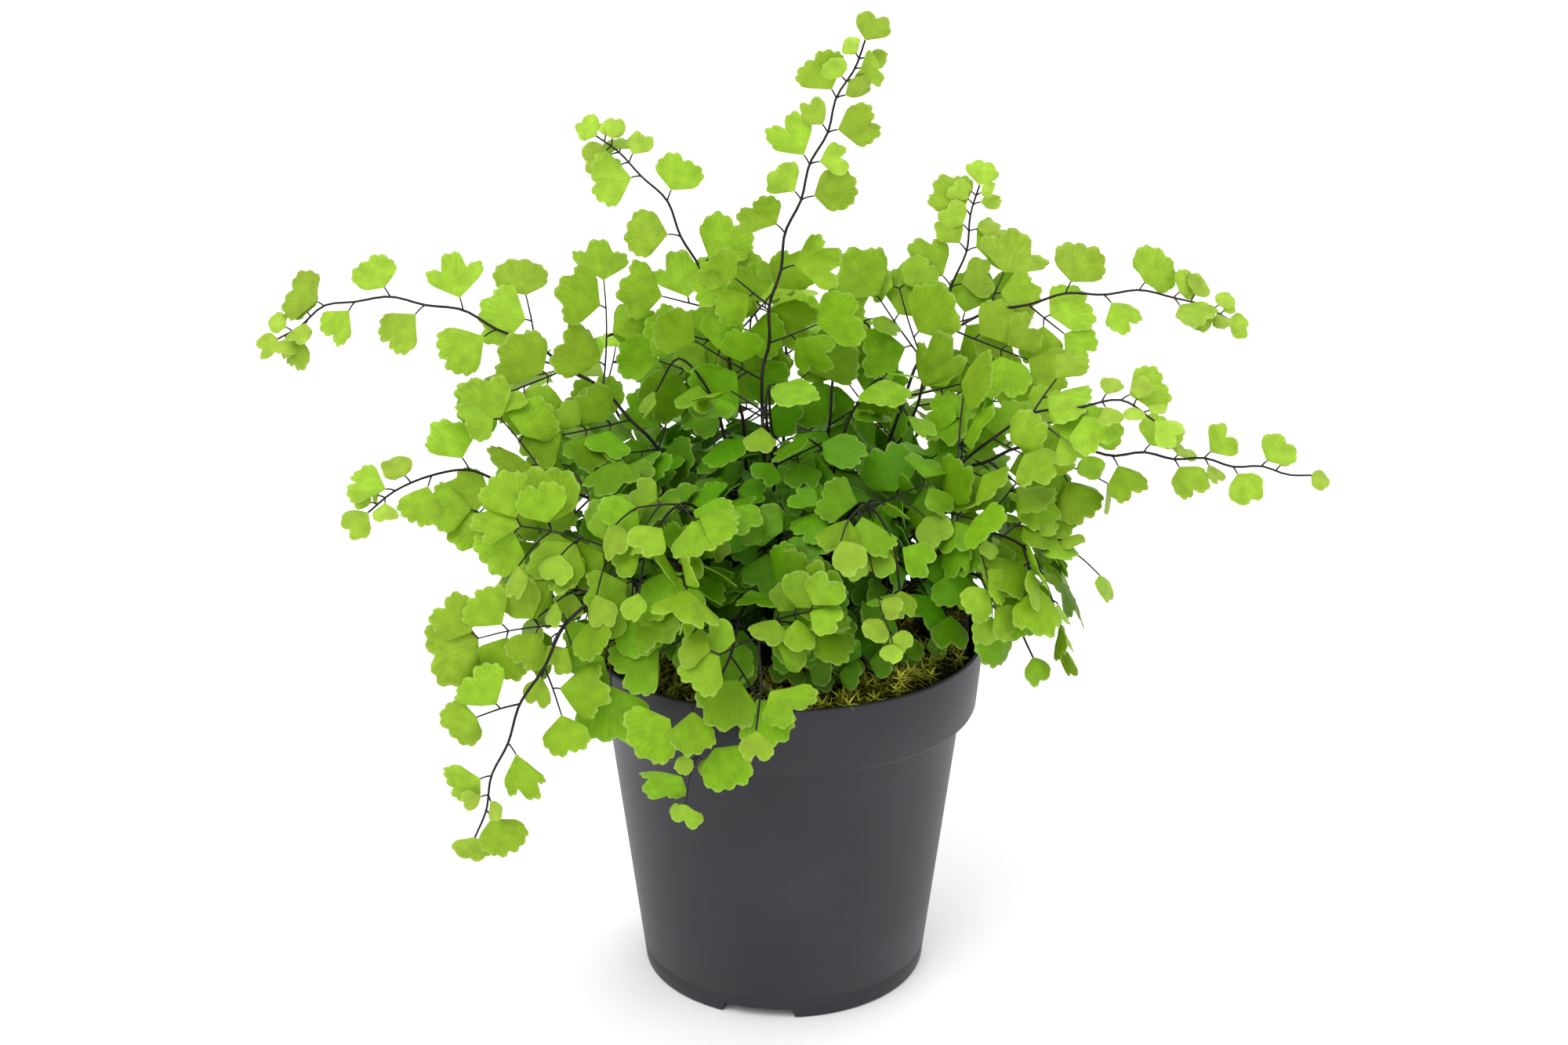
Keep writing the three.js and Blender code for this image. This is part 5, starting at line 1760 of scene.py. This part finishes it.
@dataclass
class NurseryPot:
    """The moulded pot: tapered body, deep collar with a rounded lip, and a notched foot ring."""

    finish: bpy.types.Material
    height: float = POT_HEIGHT
    rim: float = RIM_RADIUS
    collar: float = COLLAR_HEIGHT
    collar_foot: float = COLLAR_FOOT_RADIUS
    neck: float = NECK_RADIUS
    foot: float = FOOT_RADIUS
    wall: float = POT_WALL
    lip_round: float = 0.7
    groove: float = 0.16
    lift: float = 4.0
    ring: float = 2.6
    notches: int = 3
    notch_width: float = 21.0
    notch_height: float = 3.2
    notch_start: float = 260.0
    drains: int = 6
    drain_radius: float = 4.0
    drain_circle: float = 26.0
    columns: int = 240

    def outline(self) -> Array:
        """The pot's outline. It runs from the middle of the underside up the outside, over the lip
        and down to the middle of the floor inside. Bends are rounded by two or more short steps.

        Returns:
            Radii and heights, shaped (points, 2).
        """
        z_neck = self.height - self.collar
        floor = self.lift + self.wall
        body, round_ = self.body_radius, self.lip_round
        lip = [(self.rim - round_ + round_ * math.cos(a), self.height - round_ + round_ * math.sin(a))
               for a in np.radians([0, 22, 45, 68, 90, 112, 135, 158, 180])]
        outside = [
            (0, self.lift), (20, self.lift), (self.foot - self.ring - 0.5, self.lift),
            (self.foot - self.ring, self.lift - 0.5), (self.foot - self.ring, 0.3),
            (self.foot - self.ring + 0.3, 0), (self.foot - 0.5, 0), (self.foot - 0.1, 0.25),
            (body(0.7) + 0.04, 0.7), (body(3.2), 3.2), (body(5.6), 5.6), (body(5.75) - self.groove, 5.8),
            (body(6.0) - self.groove, 6.05), (body(6.3), 6.3), (body(25), 25), (body(50), 50),
            (body(70), 70), (body(z_neck - 1.2), z_neck - 1.2), (body(z_neck - 0.5) + 0.2, z_neck - 0.4),
            (body(z_neck) + 1.0, z_neck), (self.collar_foot - 0.9, z_neck),
            (self.collar_foot - 0.25, z_neck + 0.25), (self.collar_foot + 0.05, z_neck + 0.9),
            (self.collar_foot + 0.9, z_neck + 10),
        ]
        inside = [
            (self.rim - self.wall - 0.1, self.height - 2), (self.collar_foot - self.wall + 0.2, z_neck + 2.4),
            (self.collar_foot - self.wall - 0.8, z_neck + self.wall),
            (self.neck - self.wall + 0.6, z_neck + self.wall), (self.neck - self.wall, z_neck + 0.8),
            (body(floor) - self.wall + 0.2, floor + 1.5), (body(floor) - self.wall - 1.2, floor),
            (0, floor),
        ]
        return np.array([*outside, *lip, *inside])

    def body_radius(self, height: float) -> float:
        """The radius of the tapered body at a height."""
        return self.foot + (self.neck - self.foot) / (self.height - self.collar) * height

    def surface(self) -> Surface:
        """The outline turned round the axis. In a notch, no point of the foot ring lies lower than
        the notch is high.

        Returns:
            The pot's surface, without its drain holes.
        """
        outline = self.outline()
        half = math.asin(self.notch_width / 2 / self.foot)
        turn = np.linspace(0, 2 * np.pi, self.columns, endpoint=False)
        middle = np.radians(self.notch_start + np.arange(self.notches) * 360 / self.notches)[:, None]
        apart = np.abs((turn - middle + np.pi) % (2 * np.pi) - np.pi)
        cut = np.where(np.any(apart < half, axis=0), self.notch_height, 0.0)
        radius = np.repeat(outline[:, :1], self.columns, axis=1)
        height = np.maximum(outline[:, 1:], cut[None, :])
        return turned(radius, height)

    def build(self) -> None:
        """Builds the pot and drills its drain holes."""
        pot = make_piece("nursery_pot", self.surface(), self.finish, ("pot",), 50)
        drills = self.drills()
        cut = pot.modifiers.new("drain_holes", "BOOLEAN")
        cut.operation, cut.solver, cut.object = "DIFFERENCE", "EXACT", drills
        bpy.context.view_layer.update()
        shown = pot.evaluated_get(bpy.context.evaluated_depsgraph_get())
        drilled = bpy.data.meshes.new_from_object(shown)
        pot.modifiers.clear()
        pot.data = drilled
        bpy.data.objects.remove(drills)

    def drills(self) -> bpy.types.Object:
        """Upright rods where the drain holes go.

        Returns:
            The rods, as one object.
        """
        turn = np.radians(30 + 360 / self.drains * np.arange(self.drains))
        place = np.stack([self.drain_circle * np.cos(turn), self.drain_circle * np.sin(turn)], axis=1)
        height = np.linspace(self.lift - 3, self.lift + self.wall + 3, 3)
        stations = (self.drains, len(height))
        paths = np.concatenate([np.repeat(place[:, None], len(height), axis=1),
                                np.broadcast_to(height[None, :, None], (*stations, 1))], axis=2)
        rods = tubes(paths, np.full(stations, self.drain_radius), 24)
        return add_object("drills", filled_mesh("drills", rods))


def rough(x: Array, y: Array, size: float, seed: float) -> Array:
    """Smooth bumps between about -1 and 1: a sum of three crossed sines of rising pitch.

    Args:
        x: places along X in millimetres.
        y: places along Y.
        size: the width of the widest bump.
        seed: shifts the pattern.

    Returns:
        The height at each place.
    """
    total = np.zeros(np.broadcast(x, y).shape)
    for octave in range(3):
        pitch = 2 * np.pi / size * 1.9 ** octave
        a, b = seed * 1.7 + octave * 2.1, seed * 2.3 + octave * 1.3
        bump = np.sin(pitch * (x + 0.4 * y) + a) * np.cos(pitch * (y - 0.3 * x) + b)
        total = total + bump / 1.7 ** octave
    return total / 1.9


@dataclass
class PlantingBed:
    """What fills the pot: the peat with its crumbs, the rhizome, and the moss with its shoots."""

    peat: bpy.types.Material
    scaly: bpy.types.Material
    felt: bpy.types.Material
    shoots: bpy.types.Material
    gap: float = SOIL_GAP
    bed: float = BED_RADIUS
    soil_middle: float = 99.4
    soil_fall: float = 2.8
    soil_foot: float = 5.75
    rhizome_radius: float = 31.0
    rhizome_half_height: float = 10.5
    rhizome_middle: float = 97.5
    cushion_height: float = 11.0
    rim_swell: float = 6.2
    columns: int = 160
    shoot_count: int = 900
    shoot_leaves: int = 18

    def soil_height(self, radius: Array) -> Array:
        """Height of the soil, which falls from the middle with the square of the radius."""
        return self.soil_middle - self.soil_fall * (radius / self.bed) ** 2

    def moss_top(self, x: Array, y: Array) -> Array:
        """Height of the moss, with cushions and hollows on it, one high cushion at the right, and a
        swell along the rim there. Both are bell curves.

        Args:
            x: places along X.
            y: places along Y.

        Returns:
            The height at each place.
        """
        radius = np.hypot(x, y)
        mound = MOSS_MIDDLE - MOSS_FALL * np.minimum(1, radius / self.bed) ** 2
        high = self.cushion_height * np.exp(-((x - 47) ** 2 + (y - 1) ** 2) / (2 * 10.0 ** 2))
        rim = self.rim_swell * np.exp(-((radius - 54) / 5) ** 2) * np.clip(0.4 + x / 60, 0, 1)
        return mound + 1.8 * rough(x, y, 15, 3.0) - 0.4 + high + rim

    def build(self) -> None:
        """Builds the soil, the rhizome, the moss felt and the shoots."""
        make_piece("root_ball", self.soil(), self.peat, ("soil",), 60)
        make_piece("rhizome_clump", self.rhizome(), self.scaly, ("rhizome",), 60)
        make_piece("moss_felt", self.felt_ring(), self.felt, ("moss",), 60)
        make_piece("moss_shoots", self.moss_shoots(), self.shoots, ("moss",), 60)

    def polar(self, outline: list[tuple[float, float]]) -> tuple[Array, Array, Array, Array]:
        """An outline repeated for each column.

        Args:
            outline: its radii and heights.

        Returns:
            The radii, the heights, and the places along X and Y.
        """
        table = np.array(outline, float)
        radius = np.repeat(table[:, :1], self.columns, axis=1)
        height = np.repeat(table[:, 1:], self.columns, axis=1)
        turn = np.linspace(0, 2 * np.pi, self.columns, endpoint=False)
        return radius, height, radius * np.cos(turn), radius * np.sin(turn)

    def soil(self) -> Surface:
        """The root ball: the pot's inside less a gap, bumpy on top, hollow where the rhizome lies.

        Returns:
            Its surface.
        """
        side = POT_WALL + self.gap
        shoulder = POT_HEIGHT - COLLAR_HEIGHT + side
        deep = self.rhizome_half_height + self.gap
        top = [(r, float(self.soil_height(np.array(r)))) for r in (56, 52, 48, 44, 40, 36.5, 33)]
        pocket = [(r, self.rhizome_middle - deep * math.sqrt(max(0.0, 1 - (r / 32.5) ** 2)))
                  for r in (32, 28, 20, 10)]
        outline = [(0, self.soil_foot), (30, self.soil_foot), (FOOT_RADIUS + 0.7 - side, self.soil_foot),
                   (NECK_RADIUS - side, shoulder), (COLLAR_FOOT_RADIUS - side, shoulder),
                   *top, *pocket, (0, self.rhizome_middle - deep)]
        radius, height, x, y = self.polar(outline)
        on_top = (radius > 33.5) & (height > 95)
        return turned(radius, height + on_top * np.minimum(0.0, rough(x, y, 6, 1.0)) * 0.8)

    def rhizome(self) -> Surface:
        """The creeping stem: a flat egg whose radius swells into lobes and knobs.

        Returns:
            Its surface.
        """
        rise = np.linspace(-np.pi / 2, np.pi / 2, 26)[:, None]
        turn = np.linspace(0, 2 * np.pi, self.columns, endpoint=False)[None, :]
        lobes = 1 + 0.05 * np.sin(5 * turn + 1)
        knobs = 0.02 * np.sin(9 * turn + 4 * rise) + 0.015 * np.sin(23 * turn - 11 * rise)
        radius = self.rhizome_radius * np.cos(rise) * (lobes + knobs * np.cos(rise))
        height = self.rhizome_half_height * np.sin(rise) * (1 + 2.2 * knobs * np.cos(rise))
        return turned(radius, self.rhizome_middle + height)

    def felt_ring(self) -> Surface:
        """The dark mat under the shoots: a closed ring with cushions on top. Row by row it runs out
        along its underside and back along its top.

        Returns:
            Its surface.
        """
        radii = np.array([MOSS_INNER_RADIUS, 38, 41, 44, 47, 50, 53, 55.4])
        turn = np.linspace(0, 2 * np.pi, self.columns, endpoint=False)
        under, over = radii[:, None], radii[::-1][:, None]
        low = np.repeat(self.soil_height(under) + self.gap, self.columns, axis=1)
        x, y = over * np.cos(turn), over * np.sin(turn)
        high = np.maximum(self.moss_top(x, y) - 1.2, self.soil_height(over) + 1.2)
        radius = np.repeat(np.vstack([under, over]), self.columns, axis=1)
        height = np.vstack([low, high])
        points = np.stack([radius * np.cos(turn), radius * np.sin(turn), height], axis=-1).reshape(-1, 3)
        rows = len(radius)
        index = np.arange(rows * self.columns).reshape(rows, self.columns)
        below, after = np.roll(index, -1, axis=0), np.roll(index, -1, axis=1)
        both = np.roll(below, -1, axis=1)
        return Surface(points, [np.stack([index, after, both, below], axis=-1).reshape(-1, 4)])

    def moss_shoots(self) -> Surface:
        """Upright shoots with whorls of narrow pointed leaves, open like stars at the top.

        A shoot stands on the moss and leans. Leaf i of a shoot grows from the share i of its
        height, turned by the golden angle from the one before, and rises more steeply the higher
        it stands. Each leaf is a thin three-sided spike that bends down at its tip. Its colour
        goes by the share, with patches, and darker where the high cushion is dead inside.

        Returns:
            The leaves' surface.
        """
        count, leaves = self.shoot_count, self.shoot_leaves
        chance = draws(np.arange(count), 8, 4.1414, 0.7)
        inner, outer = MOSS_INNER_RADIUS ** 2, 54.6 ** 2
        radius = np.sqrt(inner + (outer - inner) * chance[0])
        turn = 2 * np.pi * chance[1]
        x, y = radius * np.cos(turn), radius * np.sin(turn)
        foot = np.stack([x, y, self.moss_top(x, y) - 2.4], axis=1)
        stem = unit(np.column_stack([(chance[2:4].T - 0.5) * 1.1, np.ones(count)]))
        tall = 2.8 + 4.8 * chance[4] ** 1.4
        share = ((np.arange(leaves) + 1) / leaves) ** 0.6
        golden = np.arange(leaves) * GOLDEN_ANGLE + 6 * chance[5][:, None]
        first = unit(np.cross(stem, [0.3, 1.0, 0.1]))
        second = np.cross(stem, first)
        out = (first[:, None] * np.cos(golden)[..., None] + second[:, None] * np.sin(golden)[..., None])
        way = unit(out + stem[:, None] * (0.1 + 0.9 * share ** 6)[None, :, None])
        length = (2.1 + 2.0 * chance[6])[:, None] * (1.15 - 0.25 * share)[None, :]
        base = foot[:, None] + stem[:, None] * (tall[:, None] * share)[..., None]
        across = unit(np.cross(way, stem[:, None]))
        under = np.cross(across, way)
        corners = np.stack([base + across * 0.37, base - across * 0.37, base - under * 0.2,
                            base + way * length[..., None] - under * 0.14 * length[..., None]], axis=2)
        start = (np.arange(count * leaves) * 4)[:, None, None]
        spike = np.array([[0, 1, 3], [1, 2, 3], [2, 0, 3], [0, 2, 1]])[None]
        patch = 0.3 * rough(x, y, 24, 7.0) + 0.5 * (chance[7] - 0.5)
        dead = np.exp(-((x - 50) ** 2 + (y - 4) ** 2) / (2 * 9.0 ** 2)) * 0.55
        value = (0.66 * share[None, :] ** 4 + (0.5 * tall / 7 + patch - dead - 0.18)[:, None])[..., None]
        value = np.clip(value + np.array([0, 0, 0, 0.32]), 0, 1).reshape(-1, 1)
        tone = np.hstack([np.repeat(value, 3, axis=1), np.ones((len(value), 1))])
        return Surface(corners.reshape(-1, 3), [(spike + start).reshape(-1, 3)], None, tone)


@dataclass
class Studio:
    """The white board, the soft lights and the camera."""

    board: bpy.types.Material
    lens_mm: float = 50.0
    camera_mm: tuple[float, float, float] = (0.0, -611.4, 348.8)
    looks_down: float = 18.73
    sky: float = 1.07
    board_half_m: float = 9.0

    def build(self) -> None:
        """Sets up the board, the lights and the camera."""
        mesh = bpy.data.meshes.new("board")
        half = self.board_half_m
        corners = [(-half, -half, 0), (half, -half, 0), (half, half, 0), (-half, half, 0)]
        mesh.from_pydata(corners, [], [(0, 1, 2, 3)])
        mesh.materials.append(self.board)
        add_object("board", mesh)
        self.sun("key", (-28, -28), 1.2, 40)
        self.sun("back", (30, 42), 0.9, 50)
        world = bpy.data.worlds.new("studio")
        world.use_nodes = True
        background = world.node_tree.nodes["Background"]
        background.inputs["Color"].default_value = (1, 1, 1, 1)
        background.inputs["Strength"].default_value = self.sky
        bpy.context.scene.world = world
        data = bpy.data.cameras.new("camera")
        data.lens, data.sensor_width = self.lens_mm, 36
        camera = add_object("camera", data)
        camera.location = [v * MM for v in self.camera_mm]
        camera.rotation_euler = (math.radians(90 - self.looks_down), 0, 0)
        bpy.context.scene.camera = camera
        bpy.context.scene.view_settings.view_transform = "Standard"

    @staticmethod
    def sun(name: str, lean: tuple[float, float], strength: float, softness: float) -> None:
        """A soft lamp without falloff.

        Args:
            name: the lamp's name.
            lean: degrees by which it stands to the right of straight above, and behind it.
            strength: watts on a square metre.
            softness: degrees that the lamp is wide.
        """
        data = bpy.data.lights.new(name, "SUN")
        data.energy, data.angle = strength, math.radians(softness)
        lamp = add_object(name, data)
        lamp.rotation_euler = (-math.radians(lean[1]), math.radians(lean[0]), 0)


def main() -> None:
    """Builds the pot, what fills it, the fern and the studio, in that order."""
    logging.basicConfig(level=logging.INFO, format="%(message)s")
    finish = {item: item.value.build() for item in Finish}
    NurseryPot(finish[Finish.POLYPROPYLENE]).build()
    PlantingBed(finish[Finish.PEAT], finish[Finish.SCALY_STEM], finish[Finish.MOSS_FELT],
                finish[Finish.MOSS_SHOOT]).build()
    grower = Grower()
    grower.grow(OUTER_FRONDS + [plan for ring in RINGS for plan in ring.plans()])
    LOG.info("leaflets as in the solids: %d", grower.leaflets_grown)
    grower.fill_out()
    LOG.info("leaflets in all: %d", grower.leaflets_grown)
    Foliage(grower, FernBlade().build(), finish[Finish.WIRY_STALK]).build()
    Studio(finish[Finish.WHITE_BOARD]).build()
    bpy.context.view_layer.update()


if __name__ == "__main__":
    main()
